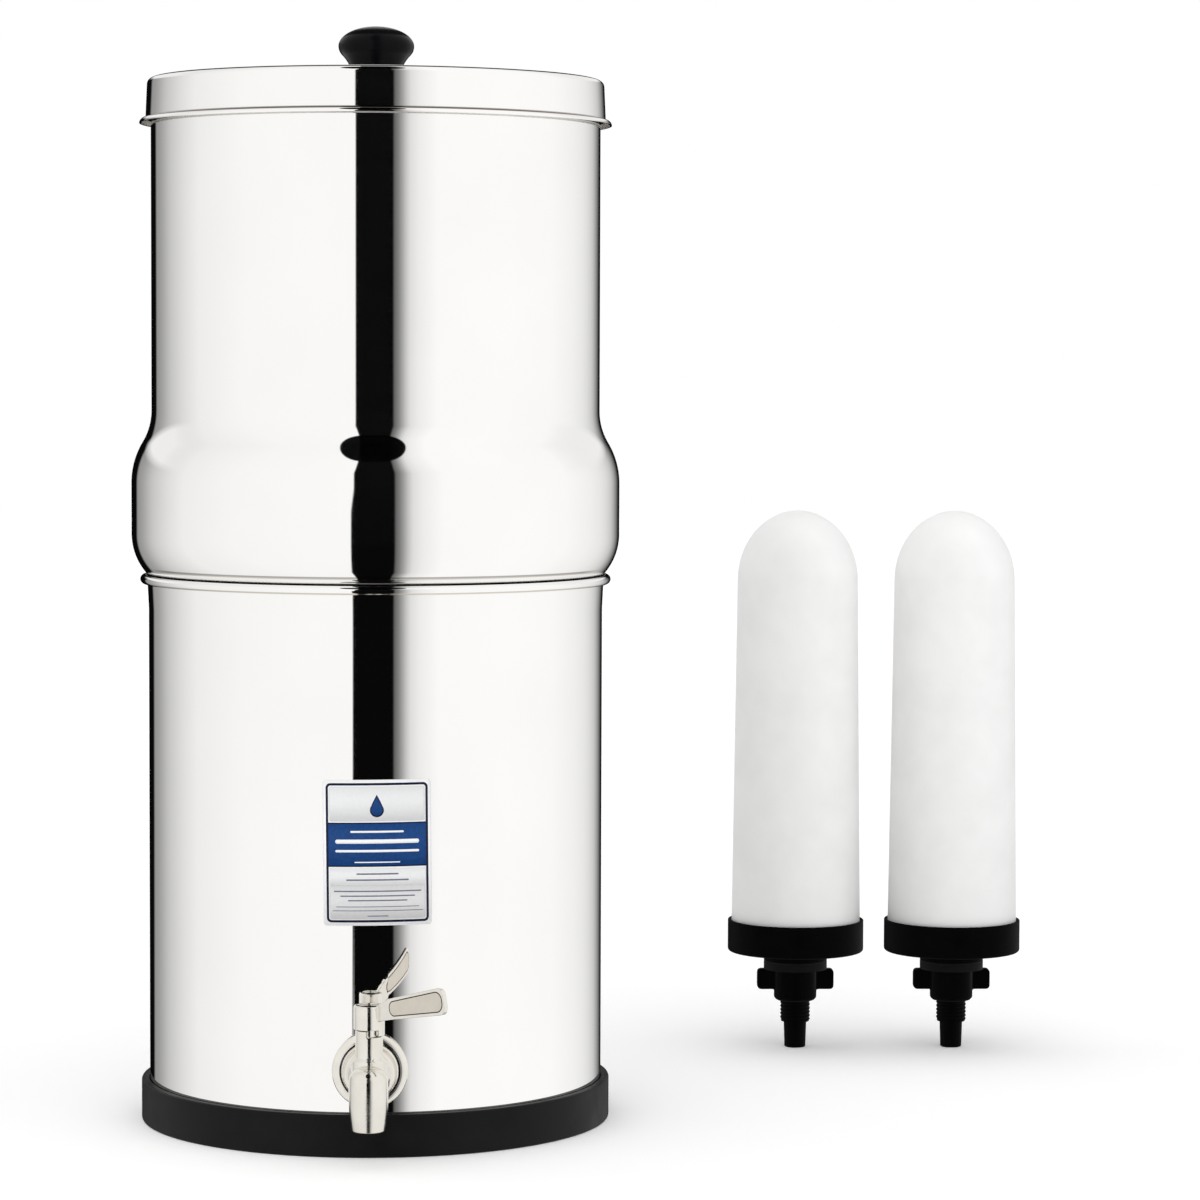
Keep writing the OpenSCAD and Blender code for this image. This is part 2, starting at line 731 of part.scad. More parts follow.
base_ring();
lower_chamber();
upper_chamber();
lid();
lid_knob();
knob_screw();
knob_washer();
tap_body();
tap_washer();
outer_gasket();
inner_gasket();
tap_nut();
tap_lever();
tap_plug();
plug_o_rings();
lever_screw();
fitted(-1) candle_shell();  // fitted_shell_left
fitted(-1) candle_core();  // fitted_core_left
fitted(-1) candle_cap();  // fitted_cap_left
fitted(-1) candle_seal();  // fitted_seal_left
fitted(-1) wing_nut(seal_z - sheet);  // fitted_nut_left
fitted(1) candle_shell();  // fitted_shell_right
fitted(1) candle_core();  // fitted_core_right
fitted(1) candle_cap();  // fitted_cap_right
fitted(1) candle_seal();  // fitted_seal_right
fitted(1) wing_nut(seal_z - sheet);  // fitted_nut_right
spare(0) candle_shell();  // spare_shell_near
spare(0) candle_core();  // spare_core_near
spare(0) candle_cap();  // spare_cap_near
spare(0) candle_seal();  // spare_seal_near
spare(0) wing_nut(seal_z);  // spare_nut_near
spare(1) candle_shell();  // spare_shell_far
spare(1) candle_core();  // spare_core_far
spare(1) candle_cap();  // spare_cap_far
spare(1) candle_seal();  // spare_seal_far
spare(1) wing_nut(seal_z);  // spare_nut_far
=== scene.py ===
import json
import math

import bmesh
import bpy
from mathutils import Matrix, Vector

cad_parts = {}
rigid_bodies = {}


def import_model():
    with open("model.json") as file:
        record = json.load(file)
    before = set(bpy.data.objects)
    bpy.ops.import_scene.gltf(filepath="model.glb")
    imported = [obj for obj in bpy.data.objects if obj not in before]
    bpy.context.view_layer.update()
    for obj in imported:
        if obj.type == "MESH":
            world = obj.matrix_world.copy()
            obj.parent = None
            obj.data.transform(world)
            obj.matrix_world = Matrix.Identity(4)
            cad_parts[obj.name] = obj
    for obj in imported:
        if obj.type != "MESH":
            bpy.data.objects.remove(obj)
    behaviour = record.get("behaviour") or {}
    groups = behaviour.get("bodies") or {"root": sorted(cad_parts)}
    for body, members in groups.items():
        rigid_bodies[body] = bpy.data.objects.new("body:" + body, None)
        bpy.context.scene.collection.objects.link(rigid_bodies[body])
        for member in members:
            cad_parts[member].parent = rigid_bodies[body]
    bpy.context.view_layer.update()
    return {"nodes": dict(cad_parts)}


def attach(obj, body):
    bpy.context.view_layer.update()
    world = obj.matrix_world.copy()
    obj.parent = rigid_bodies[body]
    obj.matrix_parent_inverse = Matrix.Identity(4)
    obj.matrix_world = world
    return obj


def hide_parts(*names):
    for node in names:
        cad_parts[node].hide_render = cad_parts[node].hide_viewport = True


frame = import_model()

# Gravity water filter with tap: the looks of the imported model. Sizes here are in millimetres, in the
# frame's axes, and are turned into metres where a mesh is made.
MM = 0.001
NODES = frame["nodes"]

# ---------------------------------------------------------------------------------------- sizes

# Lower chamber: the can, and the flare and curl of its lip
SHEET = 1.0
LOWER_R = 109.5
LOWER_Z = 3.0
LOWER_H = 261.0
LOWER_CORNER = 8.0
LIP_R = 2.2
LIP_FLARE = 0.7
LIP_FLARE_H = 14.0
SEAT_GAP = 0.2

# Upper chamber: the bulge over the cone that sits on the lip, the spigot below it and the neck on top
UPPER_R = 108.0
BULGE_R = 117.7
BULGE_LOW = 18.5
BULGE_BAND = 24.5
CONE_IN = 0.4
SHOULDER_SLOPE = 31.0
SHOULDER_HOLLOW = 30.0
SPIGOT_DEPTH = 18.5
SPIGOT_GAP = 0.6
SPIGOT_CORNER = 6.0
TOP_ROUND = 3.0
TOP_HOLLOW = 2.0
TOP_SLOPE = 80.0
NECK_H = 23.1
# The wall runs on under the lid's flange before the neck turns in
NECK_LATER = 2.6
HEADROOM = 7.0
CURL_END = -110.0

# Lid: a flat top, a wall that widens a little to the crease, and a flange below it
LID_OVER = 1.8
LID_GAP = 0.8
LID_TAPER = 0.7
LID_CORNER = 3.0
CREASE_UP = 5.5
FLANGE_H = 2.6
FLANGE_REACH = 3.0

# Knob
KNOB_R = 18.2
KNOB_H = 25.8
KNOB_DOME = 9.5
KNOB_UNDER = 6.0
KNOB_SCREW_R = 2.5
KNOB_SCREW_IN = 14
KNOB_SLOPE = 45

# Base ring
RING_H = 20.0
RING_WALL = 3.6
RING_FLOOR = 3.0
RING_LEDGE = 16.0
RING_GAP = 0.4
RING_EDGE = 1.2

# Cutters for the holes in the sheet reach this far through it
TAP_HOLE_L = 20
STEM_HOLE_L = 6

# Candle: the shell, its cap, the seal and the stem, and where the four stand
CANDLE_R = 34.5
CANDLE_TOP_R = 32.0
CANDLE_H = 233.1
CANDLE_WALL = 9.0
DOME_H = 37.0
POTTING_GAP = 0.2
CAP_WALL = 1.6
CAP_H = 17.0
CAP_FLOOR = 3.0
CAP_EDGE = 1.5
CAP_LIP = 0.5
BEVEL = 0.6
FILLET = 0.8
BOSS_R = 16.9
BOSS_H = 5.4
SEAL_H = 4.3
STEM_R = 7.95
STEM_L = 42.2
STEM_BORE_R = 3.0
TIP_L = 13.5
TIP_R = 6.05
TIP_END_R = 5.65
THREAD_PITCH = 2.0
THREAD_DEPTH = 0.55
THREAD_OVER_TIP = 0.4
THREAD_UNDER_BOSS = 0.1
SLEEVE_GAP = 0.05
BORE_BEVEL = 0.5
HOLE_GAP = 0.35
FITTED_X = 50.0
SPARE_X = 220.0
SPARE_PITCH = 84.0
SPARE_Y = 197.0

# Tap: where it stands, and the lever's blade with its sunk panel
TAP_Z = 40.5
SHANK_R = 7.9
BARREL_Y = -128.0
LEVER_ANGLE = 44.0
LEVER_T = 2.4
LEVER_L = 51.5
LEVER_H = 11.3
BLADE_IN_H = 9.6
BLADE_MID = 7.5
LEVER_RISE = 12.3
PANEL_FROM = 15.0
PANEL_DEEP = 0.5
COLLAR_Z = 62.5
# The blade's end is a little higher than the model's, and its panel larger: the rim and the groove round
# it, where it starts and ends along the blade, its corners there, and what its plates stand over the blade
BLADE_END_H = 12.6
GROOVE_RIM = 1.35
GROOVE_W = 0.5
PANEL_START = 15.0
PANEL_END = 50.7
PANEL_CORNERS = (3.2, 4.1)
GROOVE_OVER = 0.03
PLATE_OVER = 0.06
# The spout is longer than the model's: it is stretched downwards from a height, within reach of its axis
SPOUT_END = 20.5
SPOUT_Y = -140.0
SPOUT_FROM = 33.0
SPOUT_REACH = 10.5
SPOUT_LONGER = 2.8

# Worked out as in the model
lip_z = LOWER_Z + LOWER_H
lip_mid_r = LOWER_R + LIP_FLARE - SHEET + LIP_R
lip_mid_z = lip_z - LIP_R
cone_r = lip_mid_r - CONE_IN
bulge_angle = 2 * math.atan((BULGE_R - cone_r) / BULGE_LOW)
bulge_round = BULGE_LOW / math.sin(bulge_angle)
cone_z = lip_mid_z + (LIP_R + SEAT_GAP - CONE_IN * math.cos(bulge_angle)) / math.sin(bulge_angle)
spigot_r = LOWER_R - SHEET - SPIGOT_GAP
spigot_z = cone_z - (cone_r - spigot_r) / math.tan(bulge_angle)
floor_z = cone_z - SPIGOT_DEPTH
seal_z = STEM_L
cap_z = seal_z + SEAL_H + BOSS_H
shell_z = cap_z + CAP_FLOOR
cap_r = CANDLE_R + POTTING_GAP + CAP_WALL
fitted_z = floor_z + SHEET - seal_z
rim_z = fitted_z + shell_z + CANDLE_H + HEADROOM
narrow_z = rim_z - NECK_H
neck_r = UPPER_R - (TOP_ROUND + TOP_HOLLOW) * (1 - math.cos(math.radians(TOP_SLOPE)))
lid_r = UPPER_R + LID_OVER
rim_r = (lid_r - LID_GAP - neck_r) / 2
lid_under = rim_z + SEAT_GAP
lid_z = lid_under + SHEET
lid_foot_r = lid_r + LID_TAPER
crease_z = narrow_z + CREASE_UP
band_z = cone_z + BULGE_LOW
ring_in = LOWER_R + RING_GAP
ring_out = ring_in + RING_WALL

# -------------------------------------------------------------------------------- shape helpers


def ellipse(x, z, rx, rz, start, end, n=24):
    """Points on an ellipse about (x, z), from one angle to another, in degrees."""
    angles = [math.radians(start + (end - start) * i / n) for i in range(n + 1)]
    return [(x + rx * math.cos(a), z + rz * math.sin(a)) for a in angles]


def arc(x, z, r, start, end, n=16):
    return ellipse(x, z, r, r, start, end, n)


def distinct(points):
    """The same line without points that repeat the one before."""
    kept = [points[0]]
    for p in points[1:]:
        if math.dist(p, kept[-1]) > 1e-4:
            kept.append(p)
    return kept


def add_object(name, mesh):
    piece = bpy.data.objects.new(name, mesh)
    bpy.context.scene.collection.objects.link(piece)
    return piece


def shade(mesh, sharp=35):
    """Smooth shading, with edges over the given angle kept sharp."""
    mesh.polygons.foreach_set("use_smooth", [True] * len(mesh.polygons))
    mesh.set_sharp_from_angle(angle=math.radians(sharp))


def lathe(name, loop, centre=(0, 0, 0), segments=384, sharp=35):
    """A closed (r, z) loop in millimetres turned about the vertical axis through centre."""
    loop = distinct(loop)
    if math.dist(loop[0], loop[-1]) < 1e-4:
        loop.pop()
    mesh_maker = bmesh.new()
    rings = []
    for r, z in loop:
        if r < 1e-6:
            rings.append([mesh_maker.verts.new((0, 0, z * MM))])
            continue
        ring = []
        for i in range(segments):
            a = 2 * math.pi * i / segments
            ring.append(mesh_maker.verts.new((r * math.cos(a) * MM, r * math.sin(a) * MM, z * MM)))
        rings.append(ring)
    for k, low in enumerate(rings):
        high = rings[(k + 1) % len(rings)]
        if len(low) == 1 and len(high) == 1:
            continue
        for i in range(segments):
            j = (i + 1) % segments
            corners = [low[i % len(low)], low[j % len(low)], high[j % len(high)], high[i % len(high)]]
            mesh_maker.faces.new(list(dict.fromkeys(corners)))
    bmesh.ops.recalc_face_normals(mesh_maker, faces=mesh_maker.faces)
    mesh = bpy.data.meshes.new(name)
    mesh_maker.to_mesh(mesh)
    mesh_maker.free()
    shade(mesh, sharp)
    piece = add_object(name, mesh)
    piece.location = Vector(centre) * MM
    return piece


def turned(name, line, **more):
    """A lathe of sheet metal, from a function that gives its line at a depth below the outer face."""
    return lathe(name, line(0) + line(SHEET)[::-1], **more)


def stands_for(piece, body, material, *nodes, slot=None):
    """The piece rides on a body, takes a material, and hides the nodes it replaces. Its slot argument is not
    used.
    """
    piece.data.materials.clear()
    piece.data.materials.append(material)
    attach(piece, body)
    if nodes:
        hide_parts(*nodes)


def apply_modifiers(piece):
    """Turns the piece's modifiers into its mesh."""
    graph = bpy.context.evaluated_depsgraph_get()
    mesh = bpy.data.meshes.new_from_object(piece.evaluated_get(graph))
    piece.modifiers.clear()
    piece.data = mesh


def cut(piece, cutters):
    """Takes the cutters' volume out of the piece."""
    for cutter in cutters:
        boolean = piece.modifiers.new("cut", "BOOLEAN")
        boolean.operation = "DIFFERENCE"
        boolean.solver = "EXACT"
        boolean.object = cutter
    apply_modifiers(piece)
    for cutter in cutters:
        bpy.data.objects.remove(cutter)
    shade(piece.data)


def rod(name, r, length, centre, direction="Z", segments=64):
    """A plain round cutter."""
    end = length / 2
    piece = lathe(name, [(0, -end), (r, -end), (r, end), (0, end)], segments=segments)
    if direction == "Y":
        piece.rotation_euler = (math.pi / 2, 0, 0)
    piece.location = Vector(centre) * MM
    bpy.context.view_layer.update()
    return piece


# How finely a softened piece is remade, in millimetres, and how many rounds of smoothing it gets
NUT_SOFT = (0.45, 6)
TAP_SOFT = (0.35, 10)
LEVER_SOFT = (0.22, 5)


def softened(name, node, voxel, rounds, sharp=180):
    """A copy of a CAD node's mesh in small even faces, smoothed as casting and moulding round edges."""
    piece = add_object(name, NODES[node].data.copy())
    remesh = piece.modifiers.new("remesh", "REMESH")
    remesh.mode = "VOXEL"
    remesh.voxel_size = voxel * MM
    smooth = piece.modifiers.new("smooth", "SMOOTH")
    smooth.factor = 0.5
    smooth.iterations = rounds
    apply_modifiers(piece)
    shade(piece.data, sharp)
    return piece


# ---------------------------------------------------------------------------- material helpers


class Graph:
    """Short calls that add shader nodes to one material or world."""

    def __init__(self, tree):
        self.tree = tree
        tree.nodes.clear()

    def add(self, kind, inputs=None, **settings):
        node = self.tree.nodes.new(kind)
        for key, value in settings.items():
            setattr(node, key, value)
        for key, value in (inputs or {}).items():
            self.put(node.inputs[key], value)
        return node

    def put(self, socket, value):
        if isinstance(value, bpy.types.NodeSocket):
            self.tree.links.new(value, socket)
        else:
            socket.default_value = value

    def math(self, operation, *values):
        return self.add("ShaderNodeMath", dict(enumerate(values)), operation=operation).outputs[0]

    def product(self, first, *others):
        for other in others:
            first = self.math("MULTIPLY", first, other)
        return first

    def angle(self, operation, value):
        """The arcsine or arccosine, in degrees, of a value held within -1 to 1."""
        held = self.math("MAXIMUM", self.math("MINIMUM", value, 1.0), -1.0)
        return self.math("DEGREES", self.math(operation, held))

    def range(self, value, from_low, from_high, to_low=0.0, to_high=1.0, smooth=False):
        inputs = {"Value": value, 1: from_low, 2: from_high, 3: to_low, 4: to_high}
        kind = "SMOOTHSTEP" if smooth else "LINEAR"
        return self.add("ShaderNodeMapRange", inputs, interpolation_type=kind, clamp=True).outputs[0]

    def noise(self, vector, scale, detail=3.0, rough=0.5):
        inputs = {"Vector": vector, "Scale": scale, "Detail": detail, "Roughness": rough}
        return self.add("ShaderNodeTexNoise", inputs).outputs["Fac"]

    def height(self):
        """The height of a point in its piece's own axes, in metres."""
        place = self.add("ShaderNodeTexCoord").outputs["Object"]
        return self.add("ShaderNodeSeparateXYZ", {0: place}).outputs[2]

    def stretched(self, x=1, y=1, z=1):
        """Object coordinates scaled along each axis."""
        place = self.add("ShaderNodeTexCoord").outputs["Object"]
        return self.add("ShaderNodeMapping", {"Vector": place, "Scale": (x, y, z)}).outputs[0]

    def blend(self, factor, one, other):
        """A mix of two colours. The mix node keeps its colour sockets at these numbers."""
        return self.add("ShaderNodeMix", {0: factor, 6: one, 7: other}, data_type="RGBA").outputs[2]

    def bump(self, height, distance, strength=1.0, under=None):
        inputs = {"Height": height, "Distance": distance, "Strength": strength}
        if under is not None:
            inputs["Normal"] = under
        return self.add("ShaderNodeBump", inputs).outputs[0]


def crevice_shade(g, distance, closed, open_face, darkest):
    """1 on open faces, less in the corners and gaps that a mirror shows dark; base colours take this mask as
    painted shade.
    """
    sky = g.add("ShaderNodeAmbientOcclusion", {"Distance": distance * MM}, samples=8).outputs["AO"]
    return g.range(sky, closed, open_face, darkest, 1.0, smooth=True)


# How far a face has to turn to the axis before it counts as an inside
INWARD_BY = 0.02


def inward(g):
    """1 on faces turned towards the vessel's axis, which the maker leaves satin, and 0 on its outside."""
    place = g.add("ShaderNodeTexCoord").outputs["Object"]
    flat = g.add("ShaderNodeVectorMath", {0: place, 1: (1, 1, 0)}, operation="MULTIPLY").outputs[0]
    facing = g.add("ShaderNodeNewGeometry").outputs["True Normal"]
    outwards = g.add("ShaderNodeVectorMath", {0: flat, 1: facing}, operation="DOT_PRODUCT").outputs["Value"]
    return g.math("LESS_THAN", outwards, -INWARD_BY)


def linear(tone):
    """A 0-255 display tone as scene light."""
    c = tone / 255
    return c / 12.92 if c <= 0.04045 else ((c + 0.055) / 1.055) ** 2.4


def rgb(*tones):
    return tuple(linear(t) for t in tones) + (1.0,)


def new_material(name):
    material = bpy.data.materials.new(name)
    material.use_nodes = True
    return material, Graph(material.node_tree)


def surface(graph, **inputs):
    """The Principled shader of a material. Underscores in the names stand for spaces."""
    named = {key.replace("_", " "): value for key, value in inputs.items()}
    shader = graph.add("ShaderNodeBsdfPrincipled", named)
    graph.add("ShaderNodeOutputMaterial", {"Surface": shader.outputs[0]})


# ------------------------------------------------------------------------------------ materials


# Where most of a noise's values lie
PATCHES = (0.3, 0.7)
LINES = (0.3, 0.8)
FIBRES = (0.35, 0.65)
# Depths of the bumps, in metres
WAVE_DEPTH = 0.00012
LINE_DEPTH = 0.000002
FINE_DEPTH = 0.00001
GRAIN_DEPTH = 0.00003
PORE_DEPTH = 0.00004
RING_DEPTH = 0.0001
CARBON_DEPTH = 0.0002
# How polished and how satin sheet scatters
POLISHED = (0.02, 0.05)
SATIN = (0.36, 0.46)
# The painted shade line in the lid's fold: half its width, where it has faded out, and how far below the
# crease
FOLD_HALF = 0.3
FOLD_SOFT = 0.7
FOLD_BELOW = 0.45
# Castings are this much rougher low down, and as smooth as above once this far over that height
SATIN_MORE = 0.09
SATIN_FADE = 8


def polished_steel(name, fold=None):
    """Mirror-polished sheet with faint turning lines and slow waves, painted shade in its corners and gaps,
    and a painted shade line along a fold at a height.
    """
    material, g = new_material(name)
    lines = g.noise(g.stretched(1, 1, 60), 40.0, 4.0, 0.6)
    waves = g.noise(g.stretched(1, 1, 0.5), 9.0, 1.0)
    haze = g.noise(g.stretched(), 14.0, 3.0)
    metal = g.blend(g.range(haze, *PATCHES), (0.93, 0.925, 0.913, 1), (0.955, 0.95, 0.94, 1))
    # Painted shade: corners and gaps are darkened in the base colour by ambient occlusion
    unshaded_share = crevice_shade(g, distance=1.2, closed=0.42, open_face=0.66, darkest=0.1)
    colour = g.blend(unshaded_share, (0.05, 0.045, 0.04, 1), metal)
    if fold:
        # Painted shade: a dark line painted along the lid's fold, where the crease falls into shadow
        away = g.math("ABSOLUTE", g.math("SUBTRACT", g.height(), fold * MM))
        fold_shade = g.range(away, FOLD_HALF * MM, FOLD_SOFT * MM, 1.0, 0.0)
        colour = g.blend(fold_shade, colour, (0.10, 0.075, 0.06, 1))
    rough = g.blend(inward(g), g.range(lines, *LINES, *POLISHED), g.range(lines, *LINES, *SATIN))
    slow = g.bump(waves, WAVE_DEPTH, 0.5)
    normal = g.bump(lines, LINE_DEPTH, 0.3, slow)
    surface(g, Base_Color=colour, Metallic=1.0, Roughness=rough, Normal=normal)
    return material


def cast_steel(name, low, high, rough, grain, satin_below=0.0):
    """Cast stainless steel: buffed, with slow waves and a fine grain, painted shade in its corners and gaps,
    and rougher below a height.
    """
    material, g = new_material(name)
    patch = g.noise(g.stretched(), 160.0, 3.0)
    fine = g.noise(g.stretched(), 2600.0, 2.0)
    metal = g.blend(g.range(patch, *PATCHES), low, high)
    # Painted shade: corners and gaps are darkened in the base colour by ambient occlusion
    unshaded_share = crevice_shade(g, distance=0.8, closed=0.28, open_face=0.52, darkest=0.1)
    colour = g.blend(unshaded_share, (0.08, 0.065, 0.05, 1), metal)
    faded = (satin_below + SATIN_FADE) * MM
    more = g.range(g.height(), satin_below * MM, faded, SATIN_MORE, 0.0)
    roughness = g.math("ADD", g.range(patch, *PATCHES, *rough), more)
    waves = g.bump(patch, WAVE_DEPTH, 0.4)
    normal = g.bump(fine, FINE_DEPTH, grain, waves)
    surface(g, Base_Color=colour, Metallic=1.0, Roughness=roughness, Normal=normal)
    return material


def moulded(name, low, high, rough, grain_scale, grain, gloss):
    """Moulded plastic or rubber: a dark body with a slight grain and uneven gloss."""
    material, g = new_material(name)
    patch = g.noise(g.stretched(), 60.0, 3.0)
    fine = g.noise(g.stretched(), grain_scale, 2.0)
    colour = g.blend(g.range(patch, *PATCHES), low, high)
    roughness = g.range(patch, *PATCHES, *rough)
    normal = g.bump(fine, GRAIN_DEPTH, grain)
    surface(g, Base_Color=colour, Roughness=roughness, Normal=normal, Specular_IOR_Level=gloss)
    return material


def fired_ceramic():
    """Unglazed white ceramic: chalky, with fine pores and faint rings from its forming."""
    material, g = new_material("ceramic")
    cloud = g.noise(g.stretched(), 45.0, 4.0)
    pores = g.noise(g.stretched(), 1500.0, 3.0)
    rings = g.noise(g.stretched(0.2, 0.2, 1), 90.0, 2.0)
    colour = g.blend(g.range(cloud, *PATCHES), (0.90, 0.90, 0.895, 1), (0.95, 0.95, 0.945, 1))
    normal = g.bump(pores, PORE_DEPTH, 0.5, g.bump(rings, RING_DEPTH, 0.25))
    surface(g, Base_Color=colour, Roughness=g.range(cloud, *PATCHES, 0.75, 0.9), Normal=normal)
    return material


def pressed_carbon():
    """A block of pressed carbon grains."""
    material, g = new_material("pressed_carbon")
    grains = g.noise(g.stretched(), 900.0, 4.0)
    colour = g.blend(grains, (0.02, 0.02, 0.022, 1), (0.08, 0.08, 0.085, 1))
    surface(g, Base_Color=colour, Roughness=0.85, Normal=g.bump(grains, CARBON_DEPTH, 0.5))
    return material


def printed(name, low, high, gloss):
    """Printed and laminated paper."""
    material, g = new_material(name)
    fibre = g.noise(g.stretched(), 700.0, 3.0)
    colour = g.blend(g.range(fibre, *FIBRES), low, high)
    normal = g.bump(fibre, FINE_DEPTH, 0.3)
    surface(g, Base_Color=colour, Roughness=0.45, Normal=normal, Specular_IOR_Level=gloss)
    return material


STEEL = polished_steel("polished_steel")
LID_STEEL = polished_steel("lid_steel", crease_z - FOLD_BELOW)
TAP_STEEL = cast_steel(
    "tap_steel", (0.77, 0.742, 0.682, 1), (0.83, 0.807, 0.752, 1), rough=(0.09, 0.16), grain=0.2)
SPOUT_STEEL = cast_steel(
    "tap_body_steel", (0.765, 0.737, 0.672, 1), (0.825, 0.802, 0.742, 1), rough=(0.09, 0.16), grain=0.2,
    satin_below=30)
PANEL_STEEL = cast_steel(
    "panel_steel", (0.67, 0.625, 0.55, 1), (0.75, 0.70, 0.625, 1), rough=(0.36, 0.46), grain=0.9)
# Painted shade: near-black steel for the plates that fill the lever's groove, standing for the shade in that
# recess
GROOVE_SHADE = cast_steel(
    "painted_groove_shade", (0.045, 0.032, 0.024, 1), (0.07, 0.05, 0.038, 1), rough=(0.45, 0.55), grain=0.6)
RING_PLASTIC = moulded(
    "ring_plastic", (0.004, 0.004, 0.0045, 1), (0.007, 0.007, 0.0075, 1), rough=(0.38, 0.5),
    grain_scale=900.0, grain=0.25, gloss=0.11)
KNOB_PLASTIC = moulded(
    "knob_plastic", (0.0025, 0.002, 0.003, 1), (0.004, 0.0035, 0.0045, 1), rough=(0.2, 0.3),
    grain_scale=500.0, grain=0.1, gloss=0.07)
CANDLE_PLASTIC = moulded(
    "candle_plastic", (0.001, 0.001, 0.001, 1), (0.002, 0.002, 0.002, 1), rough=(0.4, 0.55),
    grain_scale=900.0, grain=0.2, gloss=0.02)
RUBBER = moulded(
    "rubber", (0.004, 0.004, 0.004, 1), (0.007, 0.007, 0.007, 1), rough=(0.55, 0.7),
    grain_scale=1200.0, grain=0.3, gloss=0.08)
CERAMIC = fired_ceramic()
CARBON = pressed_carbon()
LABEL_WHITE = printed("label_white", (0.92, 0.925, 0.93, 1), (0.95, 0.955, 0.96, 1), 0.6)
LABEL_GREY = printed("label_grey", (0.79, 0.795, 0.80, 1), (0.81, 0.815, 0.82, 1), 0.6)
LABEL_SHADE = printed("label_shade", (0.675, 0.675, 0.68, 1), (0.70, 0.70, 0.705, 1), 0.6)
LABEL_BLUE = printed("label_blue", (0.002, 0.045, 0.19, 1), (0.004, 0.058, 0.23, 1), 0.25)
LABEL_NAVY = printed("label_navy", (0.002, 0.005, 0.03, 1), (0.004, 0.009, 0.045, 1), 0.25)
LABEL_RULE = printed("label_rule", (0.14, 0.15, 0.21, 1), (0.18, 0.19, 0.26, 1), 0.4)

# --------------------------------------------------------------------------------------- studio

# The camera's place in millimetres, its angles in degrees, its focal length in the picture's pixels, and
# the sensor's width in millimetres, and how near and how far it sees, in metres
CAMERA_AT = (48.864, -1999.403, 366.7)
CAMERA_YAW = 1.71
CAMERA_PITCH = -3.3
CAMERA_ROLL = 0.2
FOCAL_PIXELS = 4127
PHOTO_PIXELS = 1200
SENSOR = 36
CLIP = (0.1, 100)


def make_camera():
    """A camera at the photograph's viewing angle."""
    camera = bpy.data.objects.new("camera", bpy.data.cameras.new("camera"))
    bpy.context.scene.collection.objects.link(camera)
    camera.data.sensor_width = SENSOR
    camera.data.lens = SENSOR * FOCAL_PIXELS / PHOTO_PIXELS
    camera.data.clip_start, camera.data.clip_end = CLIP
    yaw, pitch, roll = (math.radians(a) for a in (CAMERA_YAW, CAMERA_PITCH, CAMERA_ROLL))
    ahead = Vector((math.sin(yaw) * math.cos(pitch), math.cos(yaw) * math.cos(pitch), math.sin(pitch)))
    right = ahead.cross(Vector((0, 0, 1))).normalized()
    up = right.cross(ahead)
    rolled_right = right * math.cos(roll) + up * math.sin(roll)
    rolled_up = up * math.cos(roll) - right * math.sin(roll)
    turn = Matrix((rolled_right, rolled_up, -ahead)).transposed()
    camera.matrix_world = Matrix.Translation(Vector(CAMERA_AT) * MM) @ turn.to_4x4()
    bpy.context.scene.camera = camera


# The light tent as polished steel shows it on either side of the camera: (degrees from the camera, tone)
TENT_LEFT = [
    (0, 248), (40, 248), (70, 246), (102, 236), (114, 221), (123, 206), (127, 199), (131, 190), (135, 178),
    (139, 166), (143, 156), (147, 149), (150, 146), (151.8, 125), (153.2, 60), (154.3, 8), (180, 8)]
TENT_RIGHT = [
    (0, 248), (70, 250), (100, 248), (120, 239), (131, 230), (138, 219), (143.5, 205), (146.5, 196),
    (149.5, 180), (152.5, 160), (155, 142), (157.7, 118), (160.3, 88), (163, 48), (165.5, 12), (180, 8)]
# The two halves of the tent run into each other over this much to the left and right
TENT_SEAM = 0.1
# Thin dark line on a round edge that turns to face the roof, by the tilt of the face that mirrors it:
# where it starts and is full, and where it ends again
EDGE_LINE = (49, 52, 70, 73)
# The roof behind the object, from how many degrees up and how many from the camera
ROOF_TONE = 236
ROOF_FROM = (9, 14)
ROOF_BEHIND = (100, 125)
# The table shows from how many degrees down
TABLE_FROM = (-26, -16)
# What brings the steel's own colour back to the tent's tones
MIRROR_GAIN = (1.072, 1.068, 1.06)
# Where the camera stands round the vertical axis, for the tent
CAMERA_AZIMUTH = 1.4
# The slot that the camera looks through, in degrees from the camera. Its left edge has one step, low
# and high of these degrees of rise, and its right side a soft end.
SLOT_LEFT_LOW = -11.4
SLOT_LEFT_HIGH = -10.1
SLOT_STEP = (-1.75, -0.8)
SLOT_EDGE = (-0.5, 0.2)
SLOT_TONES = [
    (8.2, 8), (9.2, 102), (11.1, 133), (13.1, 169), (15.0, 203), (17.0, 226), (21.3, 241), (31.0, 255)]
# The slot narrows on faces that tilt up and on those that tilt far down: (tilt from, to, narrowing from, to)
NARROW_UP = (11, 23, 1.0, 1.3)
NARROW_DOWN = (-36, -29, 1.25, 1.0)
# The slot fades out in directions that point away from the camera
SLOT_ENDS = (-0.2, 0.0)
# The opening overhead, by the turn and the tilt of the face that mirrors it: its middle, half its
# size, how blunt its ends are, its soft edge and the light left in it
ROOF_HOLE_AT = (-0.8, 31.0)
ROOF_HOLE_SIZE = (8.1, 12.0)
ROOF_HOLE_BLUNT = (3.0, 2.0)
ROOF_HOLE_EDGE = (0.92, 1.04)
ROOF_HOLE_LEFT = 0.003
# The tent's foot: a thin dark line and below it the cream of the table, by the same tilt. How dark
# the line is next to the roof's, what light both leave, and the table's share of each colour
FOOT_LINE = (-36.4, -35.4, -34.4, -33.6)
FOOT_DARK = 0.6
LINES_LEFT = 0.04
TABLE_GAIN = (0.72, 0.67, 0.575)
